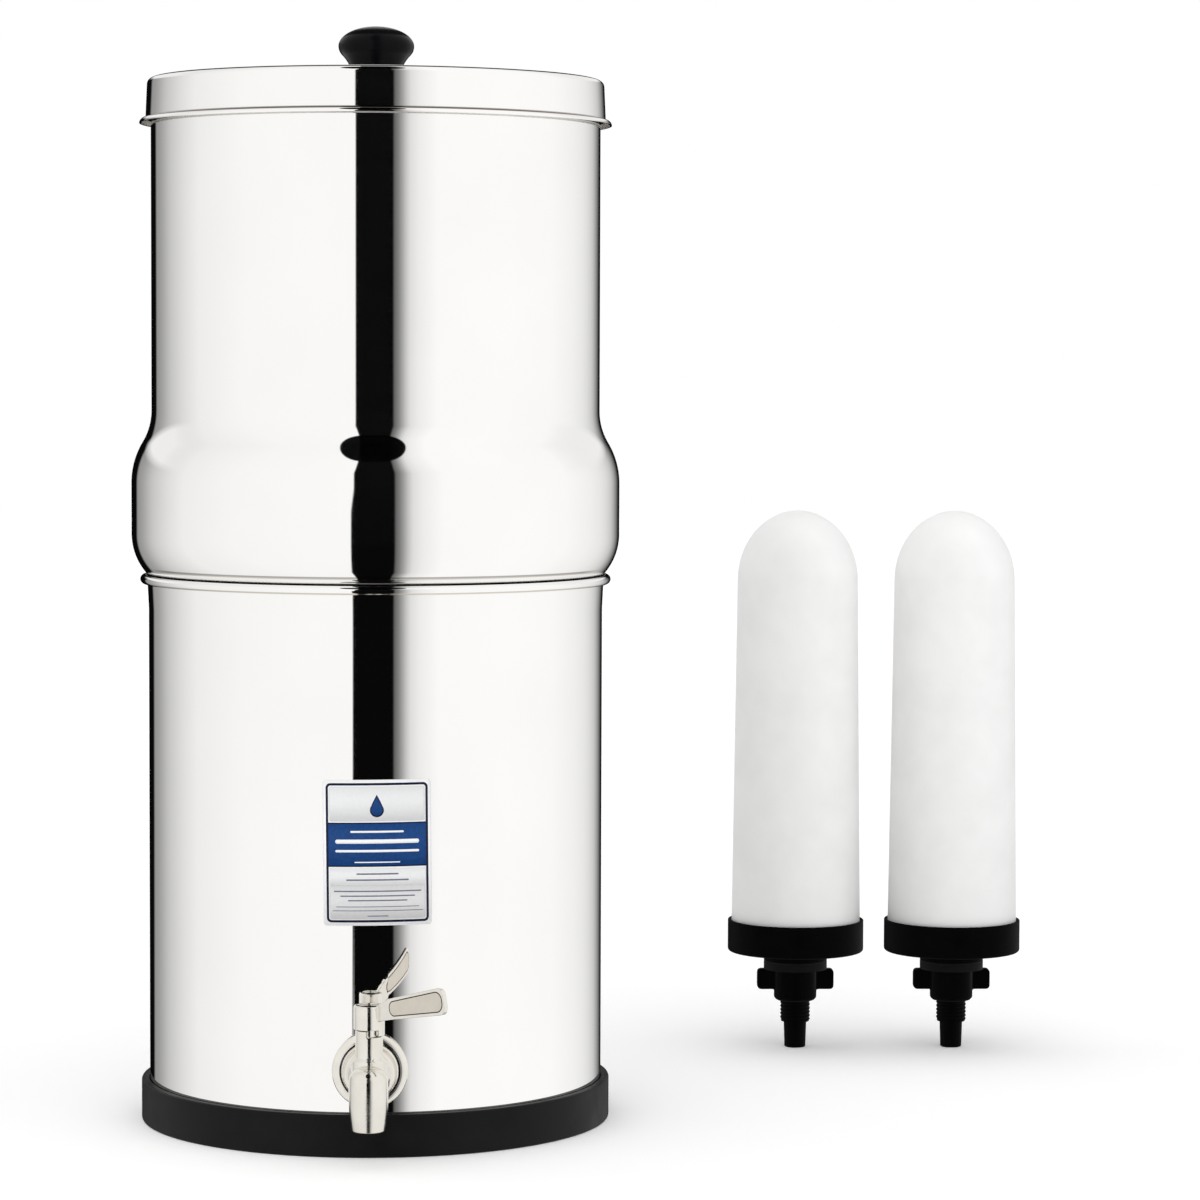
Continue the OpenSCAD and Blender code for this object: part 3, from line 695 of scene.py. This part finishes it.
# The soft light on matt surfaces: where it comes from, and its strength from behind and from the front
LIGHT_AZIMUTH = 25
LIGHT_UP = 0.25
LIGHT_RANGE = (0.48, 1.34)
# The floor, in metres: half its side, how far under the object, and how much it glows for the camera
FLOOR_HALF = 8.0
FLOOR_BELOW = 0.00005
FLOOR_GLOW = 0.15


def tone_ramp(g, value, low, high, stops):
    """A ramp over value, with stops given as (value, display tone)."""
    node = g.add("ShaderNodeValToRGB", {"Fac": g.range(value, low, high)})
    ramp = node.color_ramp
    while len(ramp.elements) > 1:
        ramp.elements.remove(ramp.elements[0])
    for k, (at, tone) in enumerate(stops):
        place = (at - low) / (high - low)
        stop = ramp.elements[0] if k == 0 else ramp.elements.new(place)
        stop.position = place
        stop.color = rgb(tone, tone, tone)
    return node.outputs[0]


def mirror_angles(g, x, y, z):
    """How much a direction points towards the camera and to its right, and the turn and the tilt, in
    degrees, of the face that shows this direction to the camera."""
    azimuth = math.radians(CAMERA_AZIMUTH)
    right = g.math("ADD", g.product(x, math.cos(azimuth)), g.product(y, math.sin(azimuth)))
    towards = g.math("SUBTRACT", g.product(x, math.sin(azimuth)), g.product(y, math.cos(azimuth)))
    half_way = g.math("ADD", 1.0, towards)
    turn = g.math("DEGREES", g.math("ARCTAN2", right, half_way))
    length = g.math("SQRT", g.math("MAXIMUM", g.product(half_way, 2.0), 0.0001))
    tilt = g.angle("ARCSINE", g.math("DIVIDE", z, length))
    return towards, right, turn, tilt


def tent_light(g, towards, right, rise):
    """The tent's walls by their angle from the camera, which makes the rims of all shapes dark alike."""
    off = g.angle("ARCCOSINE", towards)
    side = g.range(right, -TENT_SEAM, TENT_SEAM, smooth=True)
    walls = g.blend(side, tone_ramp(g, off, 0, 180, TENT_LEFT), tone_ramp(g, off, 0, 180, TENT_RIGHT))
    roof = g.product(g.range(rise, *ROOF_FROM), g.range(off, *ROOF_BEHIND))
    return g.blend(roof, walls, rgb(ROOF_TONE, ROOF_TONE, ROOF_TONE))


def beside_slot(g, towards, turn, tilt, rise):
    """1 beside the slot and 0 in it. On upright and on sloping stretches of a turned shape alike, the slot
    shows at one place round its side."""
    narrowing = g.product(g.range(tilt, *NARROW_UP), g.range(tilt, *NARROW_DOWN))
    slot_side = g.product(turn, 2.0, narrowing)
    left_edge = g.range(rise, *SLOT_STEP, SLOT_LEFT_LOW, SLOT_LEFT_HIGH)
    left = g.range(g.math("SUBTRACT", slot_side, left_edge), *SLOT_EDGE, 1.0, 0.0, smooth=True)
    right = tone_ramp(g, slot_side, 0, 40, SLOT_TONES)
    behind = g.range(towards, *SLOT_ENDS, 1.0, 0.0)
    return g.math("MAXIMUM", g.math("MAXIMUM", left, right), behind)


def beside_hole(g, turn, tilt):
    """1 beside the opening overhead and nearly 0 in it."""
    parts = []
    for value, at, size, blunt in zip((turn, tilt), ROOF_HOLE_AT, ROOF_HOLE_SIZE, ROOF_HOLE_BLUNT):
        away = g.math("ABSOLUTE", g.math("DIVIDE", g.math("SUBTRACT", value, at), size))
        parts.append(g.math("POWER", away, blunt))
    hole = g.range(g.math("ADD", *parts), *ROOF_HOLE_EDGE, 1.0, 0.0, smooth=True)
    return g.math("MAXIMUM", g.math("SUBTRACT", 1.0, hole), ROOF_HOLE_LEFT)


def mirrored_light(g, x, y, z):
    """What polished surfaces see: the light tent with its slot, its opening, its dark lines and the table."""
    rise = g.angle("ARCSINE", z)
    towards, right, turn, tilt = mirror_angles(g, x, y, z)
    tent = tent_light(g, towards, right, rise)
    seen = g.product(tent, beside_slot(g, towards, turn, tilt, rise), beside_hole(g, turn, tilt))
    line = g.product(g.range(tilt, *EDGE_LINE[:2]), g.range(tilt, *EDGE_LINE[2:], 1.0, 0.0))
    low = g.range(rise, *TABLE_FROM, 1.0, 0.0)
    foot = g.product(g.range(tilt, *FOOT_LINE[:2]), g.range(tilt, *FOOT_LINE[2:], low, 0.0))
    lines = g.math("MAXIMUM", line, g.product(foot, FOOT_DARK))
    seen = g.product(seen, g.range(lines, 0, 1, 1.0, LINES_LEFT))
    table = g.range(tilt, *FOOT_LINE[:2], low, 0.0)
    tones = {}
    for k, (gain, below) in enumerate(zip(MIRROR_GAIN, TABLE_GAIN)):
        tones[k] = g.product(seen, g.range(table, 0, 1, gain, gain * below))
    return g.add("ShaderNodeCombineColor", tones).outputs[0]


def matt_light(g, direction):
    """An even soft light, a little stronger from the front left than from the back right."""
    azimuth = math.radians(LIGHT_AZIMUTH)
    source = Vector((-math.sin(azimuth), -math.cos(azimuth), LIGHT_UP)).normalized()
    inputs = {0: direction, 1: tuple(source)}
    towards = g.add("ShaderNodeVectorMath", inputs, operation="DOT_PRODUCT").outputs["Value"]
    even = g.range(towards, -1.0, 1.0, *LIGHT_RANGE)
    return g.add("ShaderNodeCombineColor", {0: even, 1: even, 2: even}).outputs[0]


def make_world():
    """White to the camera, an even soft light to matt surfaces, and a light tent to polished ones."""
    world = bpy.data.worlds.new("studio")
    bpy.context.scene.world = world
    world.use_nodes = True
    g = Graph(world.node_tree)
    direction = g.add("ShaderNodeTexCoord").outputs["Generated"]
    x, y, z = g.add("ShaderNodeSeparateXYZ", {0: direction}).outputs
    path = g.add("ShaderNodeLightPath").outputs
    lit = g.blend(path["Is Glossy Ray"], matt_light(g, direction), mirrored_light(g, x, y, z))
    shown = g.math("MAXIMUM", path["Is Camera Ray"], path["Is Transmission Ray"])
    lit = g.blend(shown, lit, (1, 1, 1, 1))
    background = g.add("ShaderNodeBackground", {"Color": lit, "Strength": 1.0})
    g.add("ShaderNodeOutputWorld", {"Surface": background.outputs[0]})


def make_floor():
    """A pale floor that keeps the soft shadow under the object and fades into the white behind it."""
    mesh = bpy.data.meshes.new("floor")
    corners = [(FLOOR_HALF * x, FLOOR_HALF * y, 0) for x, y in ((-1, -1), (1, -1), (1, 1), (-1, 1))]
    mesh.from_pydata(corners, [], [(0, 1, 2, 3)])
    floor = add_object("floor", mesh)
    floor.location.z = -FLOOR_BELOW
    material, g = new_material("pale_floor")
    grain = g.noise(g.stretched(), 30.0, 3.0)
    colour = g.blend(grain, (0.93, 0.93, 0.93, 1), (0.95, 0.95, 0.95, 1))
    paper = g.add("ShaderNodeBsdfDiffuse", {"Color": colour})
    glow = g.add("ShaderNodeEmission", {"Color": (1, 1, 1, 1), "Strength": FLOOR_GLOW})
    to_camera = g.add("ShaderNodeLightPath").outputs["Is Camera Ray"]
    nothing = g.add("ShaderNodeEmission", {"Color": (0, 0, 0, 1), "Strength": 0.0})
    extra = g.add("ShaderNodeMixShader", {0: to_camera, 1: nothing.outputs[0], 2: glow.outputs[0]})
    both = g.add("ShaderNodeAddShader", {0: paper.outputs[0], 1: extra.outputs[0]})
    g.add("ShaderNodeOutputMaterial", {"Surface": both.outputs[0]})
    mesh.materials.append(material)
    floor.visible_glossy = False


make_camera()
make_world()
make_floor()
bpy.context.scene.view_settings.view_transform = "Standard"

# --------------------------------------------------------------------------------- vessel pieces


def lower_line(t):
    """The lower chamber's line, t deep in the sheet, from the middle of its floor to the lip's curl."""
    return (
        [(0, LOWER_Z + t)]
        + arc(LOWER_R - LOWER_CORNER, LOWER_Z + LOWER_CORNER, LOWER_CORNER - t, -90, 0)
        + [(LOWER_R - t, lip_mid_z - LIP_FLARE_H)]
        + arc(lip_mid_r, lip_mid_z, LIP_R - SHEET + t, 180, CURL_END, 24))


def shoulder(r, z, round_r, hollow, slope, t):
    """A convex round from the wall of radius r at height z, and the hollow that leads up from it."""
    turn = math.radians(slope)
    return (
        arc(r - round_r, z, round_r - t, 0, slope)
        + arc(r - round_r + (round_r + hollow) * math.cos(turn), z + (round_r + hollow) * math.sin(turn),
              hollow + t, 180 + slope, 180))


def upper_line(t):
    """The upper chamber's line, from the middle of its floor to its rolled rim."""
    shoulder_round = (BULGE_R - UPPER_R) / (1 - math.cos(math.radians(SHOULDER_SLOPE))) - SHOULDER_HOLLOW
    return (
        [(0, floor_z + t)]
        + arc(spigot_r - SPIGOT_CORNER, floor_z + SPIGOT_CORNER, SPIGOT_CORNER - t, -90, 0)
        + [(spigot_r - t, spigot_z + t * math.tan(bulge_angle / 2))]
        + arc(BULGE_R - bulge_round, band_z, bulge_round - t, -math.degrees(bulge_angle), 0, 32)
        + shoulder(BULGE_R, band_z + BULGE_BAND, shoulder_round, SHOULDER_HOLLOW, SHOULDER_SLOPE, t)
        + shoulder(UPPER_R, narrow_z + NECK_LATER, TOP_ROUND, TOP_HOLLOW, TOP_SLOPE, t)
        + arc(neck_r - SHEET + rim_r, rim_z - rim_r, rim_r - SHEET + t, 180, CURL_END, 24))


def lid_line(t):
    """The lid's line, from its screw hole over the wall to the edge of its flange."""
    return (
        [(KNOB_SCREW_R + HOLE_GAP, lid_z - t)]
        + arc(lid_r - LID_CORNER, lid_z - LID_CORNER, LID_CORNER - t, 90, 0)
        + ellipse(lid_foot_r - t, crease_z - FLANGE_H, FLANGE_REACH, FLANGE_H - t, 90, 0))


def make_vessel():
    """The two chambers, with the tap's hole and the candles' holes in them, and the lid."""
    lower = turned("lower_chamber_skin", lower_line)
    cut(lower, [rod("tap_hole", SHANK_R + HOLE_GAP, TAP_HOLE_L, (0, -LOWER_R, TAP_Z), "Y")])
    stands_for(lower, "root", STEEL, "lower_chamber", slot="polished_steel")

    upper = turned("upper_chamber_skin", upper_line)
    cutters = []
    for side in (-1, 1):
        centre = (side * FITTED_X, 0, floor_z)
        cutters.append(rod(f"stem_hole_{side}", STEM_R + HOLE_GAP, STEM_HOLE_L, centre))
    cut(upper, cutters)
    stands_for(upper, "upper", STEEL, "upper_chamber", slot="polished_steel")

    stands_for(turned("lid_skin", lid_line), "lid_assembly", LID_STEEL, "lid", slot="polished_steel")


def make_base_ring():
    """The moulded ring under the lower chamber, with rounded outer edges."""
    inner_r = LOWER_R - RING_LEDGE
    loop = (
        [(inner_r, 0)]
        + arc(ring_out - RING_EDGE, RING_EDGE, RING_EDGE, -90, 0, 8)
        + arc(ring_out - RING_EDGE, RING_H - RING_EDGE, RING_EDGE, 0, 90, 8)
        + [(ring_in, RING_H), (ring_in, RING_FLOOR), (inner_r, RING_FLOOR)])
    stands_for(lathe("base_ring_skin", loop), "root", RING_PLASTIC, "base_ring", slot="black_plastic")


def make_knob():
    """The lid's knob: a domed head that turns in under its widest place to a hollow neck."""
    slope = math.radians(KNOB_SLOPE)
    wide_z = KNOB_H - KNOB_DOME
    under_z = wide_z - KNOB_UNDER * math.sin(slope)
    under_r = KNOB_R - KNOB_UNDER * (1 - math.cos(slope))
    neck_round = under_z / math.sin(slope)
    loop = (
        [(KNOB_SCREW_R, 0)]
        + arc(under_r + neck_round * math.cos(slope), 0, neck_round, 180, 180 - KNOB_SLOPE)
        + arc(KNOB_R - KNOB_UNDER, wide_z, KNOB_UNDER, -KNOB_SLOPE, 0, 12)
        + ellipse(0, wide_z, KNOB_R, KNOB_DOME, 0, 90, 32)
        + [(0, KNOB_SCREW_IN), (KNOB_SCREW_R, KNOB_SCREW_IN)])
    knob = lathe("knob_skin", loop, centre=(0, 0, lid_z), segments=128)
    stands_for(knob, "lid_assembly", KNOB_PLASTIC, "lid_knob", slot="knob_black")


make_vessel()
make_base_ring()
make_knob()

# -------------------------------------------------------------------------------------- candles

# The thread's facets round the stem and rows to a turn, and how it runs in, runs out and is cut flat
THREAD_FACETS = 48
THREAD_ROWS = 8
THREAD_RUN_IN = 1.2
THREAD_RUN_OUT = 0.6
THREAD_CREST = 1.35


def threaded_stem(name, centre, low, high):
    """A sleeve of screw thread over the plain stem, from one height to another."""
    turns = THREAD_FACETS
    rows = int((high - low) / THREAD_PITCH * THREAD_ROWS)
    core = STEM_R - THREAD_DEPTH
    points, faces = [], []
    for k in range(rows + 1):
        z = low + (high - low) * k / rows
        fade = min(1.0, (z - low) / THREAD_RUN_IN, (high - z) / THREAD_RUN_OUT)
        for i in range(turns):
            phase = (z / THREAD_PITCH - i / turns) % 1.0
            crest = 1 - abs(2 * phase - 1)
            r = core + THREAD_DEPTH * min(1.0, THREAD_CREST * crest) * max(0.0, fade)
            a = 2 * math.pi * i / turns
            points.append((r * math.cos(a) * MM, r * math.sin(a) * MM, z * MM))
    for k in range(rows):
        for i in range(turns):
            j = (i + 1) % turns
            faces.append((k * turns + i, k * turns + j, (k + 1) * turns + j, (k + 1) * turns + i))
    faces.append(tuple(reversed(range(turns))))
    faces.append(tuple(rows * turns + i for i in range(turns)))
    mesh = bpy.data.meshes.new(name)
    mesh.from_pydata(points, [], faces)
    shade(mesh, 60)
    piece = add_object(name, mesh)
    piece.location = Vector(centre) * MM
    return piece


def candle_shell(name, centre):
    """The ceramic shell: a long cone under a dome, closed on top and open below."""
    dome_z = shell_z + CANDLE_H - DOME_H
    core_r = CANDLE_TOP_R - CANDLE_WALL
    loop = (
        [(core_r, shell_z), (CANDLE_R - BEVEL, shell_z), (CANDLE_R, shell_z + BEVEL)]
        + ellipse(0, dome_z, CANDLE_TOP_R, DOME_H, 0, 90, 40)
        + ellipse(0, dome_z, core_r, DOME_H - CANDLE_WALL, 90, 0, 16))
    return lathe(name, loop, centre=centre, segments=128, sharp=50)


def candle_cap(name, centre):
    """The cap with its boss and its bored stem, from the stem's tip up."""
    mouth_r = cap_r - CAP_WALL
    stem_in = STEM_R - THREAD_DEPTH - SLEEVE_GAP
    boss_z = seal_z + SEAL_H
    lip_z = cap_z + CAP_H - CAP_LIP
    loop = (
        [(STEM_BORE_R, BORE_BEVEL), (STEM_BORE_R + BORE_BEVEL, 0)]
        + arc(TIP_END_R - FILLET, FILLET, FILLET, -90, 0, 6)
        + [(TIP_R, TIP_L), (stem_in, TIP_L + STEM_R - TIP_R), (stem_in, boss_z)]
        + [(BOSS_R - BEVEL, boss_z), (BOSS_R, boss_z + BEVEL)]
        + [(BOSS_R, cap_z - FILLET), (BOSS_R + FILLET, cap_z)]
        + arc(cap_r - CAP_EDGE, cap_z + CAP_EDGE, CAP_EDGE, -90, 0, 8)
        + arc(cap_r - CAP_LIP, lip_z, CAP_LIP, 0, 90, 5)
        + arc(mouth_r + CAP_LIP, lip_z, CAP_LIP, 90, 180, 5)
        + [(mouth_r, shell_z), (STEM_BORE_R, shell_z)])
    return lathe(name, loop, centre=centre, segments=128)


def make_candle(kind, place, body, centre):
    """One candle: shell, cap with its threaded stem, and wing nut. Its core and seal keep their CAD mesh."""
    tag = f"{kind}_{place}"
    shell = candle_shell(f"shell_{tag}", centre)
    stands_for(shell, body, CERAMIC, f"{kind}_shell_{place}", slot="ceramic")
    cap = candle_cap(f"cap_{tag}", centre)
    stands_for(cap, body, CANDLE_PLASTIC, f"{kind}_cap_{place}", slot="candle_black")
    thread_low, thread_high = TIP_L + THREAD_OVER_TIP, seal_z + SEAL_H - THREAD_UNDER_BOSS
    thread = threaded_stem(f"thread_{tag}", centre, thread_low, thread_high)
    stands_for(thread, body, CANDLE_PLASTIC, slot="candle_black")
    nut = softened(f"wing_nut_{tag}", f"{kind}_nut_{place}", *NUT_SOFT)
    stands_for(nut, body, CANDLE_PLASTIC, f"{kind}_nut_{place}", slot="candle_black")


make_candle("fitted", "left", "upper", (-FITTED_X, 0, fitted_z))
make_candle("fitted", "right", "upper", (FITTED_X, 0, fitted_z))
make_candle("spare", "near", "spare_candle_near", (SPARE_X, SPARE_Y, 0))
make_candle("spare", "far", "spare_candle_far", (SPARE_X + SPARE_PITCH, SPARE_Y, 0))

# ------------------------------------------------------------------------------------------ tap


def blade_frame():
    """From the blade's own axes (along it, across it, up it) to the frame, in metres."""
    rise, turn = math.radians(LEVER_RISE), math.radians(LEVER_ANGLE)
    along = Vector((math.sin(turn) * math.cos(rise), -math.cos(turn) * math.cos(rise), math.sin(rise)))
    across = Vector((math.cos(turn), math.sin(turn), 0))
    up = Vector((-math.sin(turn) * math.sin(rise), math.cos(turn) * math.sin(rise), math.cos(rise)))
    place = Matrix.Translation(Vector((0, BARREL_Y, COLLAR_Z + BLADE_MID)) * MM)
    return place @ Matrix((along, across, up)).transposed().to_4x4()


def panel_plate(name, side, inset, face):
    """A plate that fills the lever's panel on one side, up to a height over the blade's face."""
    inner_corner, outer_corner = PANEL_CORNERS
    ends = [(PANEL_END - inset, outer_corner - inset, -1), (PANEL_START + inset, inner_corner - inset, 1)]
    outline = []
    for end, z, start in ((0, 1, 0), (1, 1, 90), (1, -1, 180), (0, -1, 270)):
        x, corner, inwards = ends[end]
        x += inwards * corner
        half = (BLADE_IN_H + (BLADE_END_H - BLADE_IN_H) * (x - PANEL_FROM) / (LEVER_L - PANEL_FROM)) / 2
        outline += arc(x, z * (half - GROOVE_RIM - inset - corner), corner, start, start + 90, 10)
    place = blade_frame()
    points = []
    for depth in (LEVER_T / 2 - PANEL_DEEP, LEVER_T / 2 + face):
        points += [place @ (Vector((x, side * depth, z)) * MM) for x, z in outline]
    n = len(outline)
    faces = [tuple(range(n)), tuple(range(n, 2 * n))]
    faces += [(i, (i + 1) % n, n + (i + 1) % n, n + i) for i in range(n)]
    mesh = bpy.data.meshes.new(name)
    mesh.from_pydata(points, [], faces)
    mesh_maker = bmesh.new()
    mesh_maker.from_mesh(mesh)
    bmesh.ops.recalc_face_normals(mesh_maker, faces=mesh_maker.faces)
    mesh_maker.to_mesh(mesh)
    mesh_maker.free()
    shade(mesh, 40)
    return add_object(name, mesh)


def make_tap():
    """The tap's cast body, and the lever with painted shade in the groove round the satin panel on each side:
    a dark plate fills it.
    """
    body = softened("tap_casting", "tap_body", *TAP_SOFT)
    for vertex in body.data.vertices:
        x, y, z = vertex.co / MM
        if z < SPOUT_FROM and math.hypot(x, y - SPOUT_Y) < SPOUT_REACH:
            vertex.co.z -= SPOUT_LONGER * MM * (SPOUT_FROM - z) / (SPOUT_FROM - SPOUT_END)
    stands_for(body, "root", SPOUT_STEEL, "tap_body", slot="tap_steel")

    lever = softened("tap_lever_casting", "tap_lever", *LEVER_SOFT)
    place = blade_frame()
    back = place.inverted()
    for vertex in lever.data.vertices:
        own = back @ vertex.co
        share = min(1.0, max(0.0, (own.x / MM - PANEL_FROM) / (LEVER_L - PANEL_FROM)))
        own.z *= 1 + (BLADE_END_H / LEVER_H - 1) * share
        vertex.co = place @ own
    stands_for(lever, "tap_handle", TAP_STEEL, "tap_lever", slot="tap_steel")
    for side in (-1, 1):
        # Painted shade: a dark plate fills the groove round each panel
        groove_shade_plate = panel_plate(f"panel_groove_shade_{side}", side, 0.0, GROOVE_OVER)
        stands_for(groove_shade_plate, "tap_handle", GROOVE_SHADE, slot="tap_steel")
        plate = panel_plate(f"panel_{side}", side, GROOVE_W, PLATE_OVER)
        stands_for(plate, "tap_handle", PANEL_STEEL, slot="tap_steel")


make_tap()

# ---------------------------------------------------------------------------------------- label

LABEL_W = 50.3
LABEL_H = 67.4
LABEL_LOW = 107.4
LABEL_AZIMUTH = 1.7
LABEL_TILT = 0.6
LABEL_SHEET = 0.015
# The margins of its layers, and the heights at which its panels meet
EDGE_W = 1.5
FRAME_W = 1.1
GAP_W = 0.45
BAND_LOW = 27.2
BAND_HIGH = 47.7
BAND_EDGE = 0.6
FOOT_SHADE = 18.3
# The corners of the sheet, its frame, the field in it, its panels, and of panels that meet a straight edge
SHEET_CORNER = 1.6
FRAME_CORNER = 2.2
FIELD_CORNER = 1.2
PANEL_CORNER = 0.8
FOOT_CORNER = 0.1
BAND_CORNER = 0.05
# The lowest layer's height over the wall, and each next one's over that
LABEL_LIFT = 0.08
LAYER_STEP = 0.02


def label_face(name, material, columns, layer):
    """A thin sheet on the chamber's wall. Each column is (x, low, high) from the label's lower left."""
    radius = LOWER_R + LABEL_LIFT + LAYER_STEP * layer
    tilt = math.radians(LABEL_TILT)
    points = []
    for x, *ends in columns:
        for z in ends:
            across, up = x - LABEL_W / 2, z - LABEL_H / 2
            a = math.radians(LABEL_AZIMUTH) + (across * math.cos(tilt) - up * math.sin(tilt)) / radius
            height = LABEL_LOW + LABEL_H / 2 + across * math.sin(tilt) + up * math.cos(tilt)
            points.append((radius * math.sin(a) * MM, -radius * math.cos(a) * MM, height * MM))
    faces = [(2 * k, 2 * k + 2, 2 * k + 3, 2 * k + 1) for k in range(len(columns) - 1)]
    mesh = bpy.data.meshes.new(name)
    mesh.from_pydata(points, [], faces)
    shade(mesh, 60)
    patch = add_object(name, mesh)
    thickness = patch.modifiers.new("thickness", "SOLIDIFY")
    thickness.thickness = LABEL_SHEET * MM
    thickness.offset = -1
    apply_modifiers(patch)
    stands_for(patch, "root", material)


def label_patch(name, material, x0, x1, z0, z1, corner, layer, n=48, corner_n=8):
    """A rounded rectangle on the label."""
    steps = [corner * (1 - math.cos(math.pi / 2 * i / corner_n)) for i in range(corner_n + 1)]
    xs = {x0 + (x1 - x0) * i / n for i in range(n + 1)} | {x0 + s for s in steps} | {x1 - s for s in steps}
    columns = []
    for x in sorted(xs):
        inset = min(corner, max(0.0, corner - (x - x0), corner - (x1 - x)))
        drop = corner - math.sqrt(corner ** 2 - inset ** 2)
        columns.append((x, z0 + drop, z1 - drop))
    label_face(name, material, columns, layer)


def label_drop(name, material, middle_z, half_h, layer, n=32):
    """A drop of water with its tip up, in the middle of the label's head."""
    r = DROP_ROUND * half_h
    centre_z = middle_z - half_h + r
    tip_z = middle_z + half_h
    columns = []
    for i in range(n + 1):
        x = -r * math.cos(math.pi * i / n)
        side = math.sqrt(max(0.0, r * r - x * x))
        flank = centre_z + (tip_z - centre_z) * (1 - abs(x) / r) ** DROP_HOLLOW
        ends = (centre_z - side, max(centre_z + side, flank))
        if i in (0, n):
            ends = (centre_z - DROP_BLUNT, centre_z + DROP_BLUNT)
        columns.append((LABEL_W / 2 + x, *ends))
    label_face(name, material, columns, layer)


# The drop: the heights of its middle and half its own height, with its edge and without
DROP_EDGE = (55.3, 5.2)
DROP = (55.1, 4.3)
DROP_ROUND = 0.62
DROP_HOLLOW = 0.8
DROP_BLUNT = 0.01
# Plain rules that stand where a label has lines: (middle height, width, thickness)
BAND_RULES = [(43.4, 24.6, 0.9), (38.9, 38.7, 1.9), (34.5, 38.7, 1.1), (29.3, 21.0, 0.5)]
FOOT_RULES = [(23.9, 19.4, 0.7), (21.1, 28.8, 0.7), (15.9, 40.4, 0.6), (13.7, 34.5, 0.6), (11.6, 27.4, 0.6),
              (8.7, 38.3, 0.35), (6.9, 41.8, 0.35), (4.4, 9.7, 0.45)]
# A rule's corners, as a share of its thickness
RULE_ROUND = 0.45


def label_rules(name, material, rules, layer):
    """Rules with rounded ends, each in the middle of the label."""
    for k, (z, width, thickness) in enumerate(rules):
        label_patch(f"{name}_{k}", material, (LABEL_W - width) / 2, (LABEL_W + width) / 2,
                    z - thickness / 2, z + thickness / 2, RULE_ROUND * thickness, layer)


def label_field(name, material, margin, low, high, corner, layer):
    """A patch as wide as the label less a margin on both sides."""
    label_patch(name, material, margin, LABEL_W - margin, low, high, corner, layer)


def make_label():
    """A sticker with a frame, a blue band, grey panels, a drop and plain rules. It carries no words."""
    inner = EDGE_W + FRAME_W
    field = inner + GAP_W
    top = LABEL_H - field
    label_field("label_sheet", LABEL_WHITE, 0, 0, LABEL_H, SHEET_CORNER, 0)
    label_field("label_frame", LABEL_NAVY, EDGE_W, EDGE_W, LABEL_H - EDGE_W, FRAME_CORNER, 1)
    label_field("label_field", LABEL_WHITE, inner, inner, LABEL_H - inner, FIELD_CORNER, 2)
    label_field("label_foot", LABEL_GREY, field, FOOT_SHADE, BAND_LOW - GAP_W, FOOT_CORNER, 3)
    label_field("label_foot_shade", LABEL_SHADE, field, field, FOOT_SHADE, PANEL_CORNER, 3)
    label_field("label_head", LABEL_GREY, field, BAND_HIGH + GAP_W, top, PANEL_CORNER, 3)
    label_field("label_band_edge", LABEL_NAVY, inner, BAND_LOW, BAND_HIGH, BAND_CORNER, 3)
    label_field("label_band", LABEL_BLUE, inner, BAND_LOW + BAND_EDGE, BAND_HIGH - BAND_EDGE, BAND_CORNER, 4)
    label_rules("label_band_rule", LABEL_WHITE, BAND_RULES, 5)
    label_rules("label_foot_rule", LABEL_RULE, FOOT_RULES, 4)
    label_drop("label_drop_edge", LABEL_NAVY, *DROP_EDGE, 4)
    label_drop("label_drop", LABEL_BLUE, *DROP, 5)


make_label()

# ----------------------------------------------------------------- nodes that keep their CAD mesh

CARRIED = {
    "tap_washer": TAP_STEEL, "tap_nut": TAP_STEEL, "tap_plug": TAP_STEEL, "lever_screw": TAP_STEEL,
    "knob_screw": STEEL, "knob_washer": STEEL,
    "outer_gasket": RUBBER, "inner_gasket": RUBBER, "plug_o_rings": RUBBER,
}
for place in ("fitted_{}_left", "fitted_{}_right", "spare_{}_near", "spare_{}_far"):
    CARRIED[place.format("core")] = CARBON
    CARRIED[place.format("seal")] = RUBBER

for name, material in CARRIED.items():
    node = NODES[name]
    node.data.materials.clear()
    node.data.materials.append(material)
    shade(node.data, 35)

# The pair of candles was taken apart from the vessel, so its polished side doesn't mirror them
for piece in bpy.data.objects:
    if "spare_" in piece.name:
        piece.visible_glossy = False
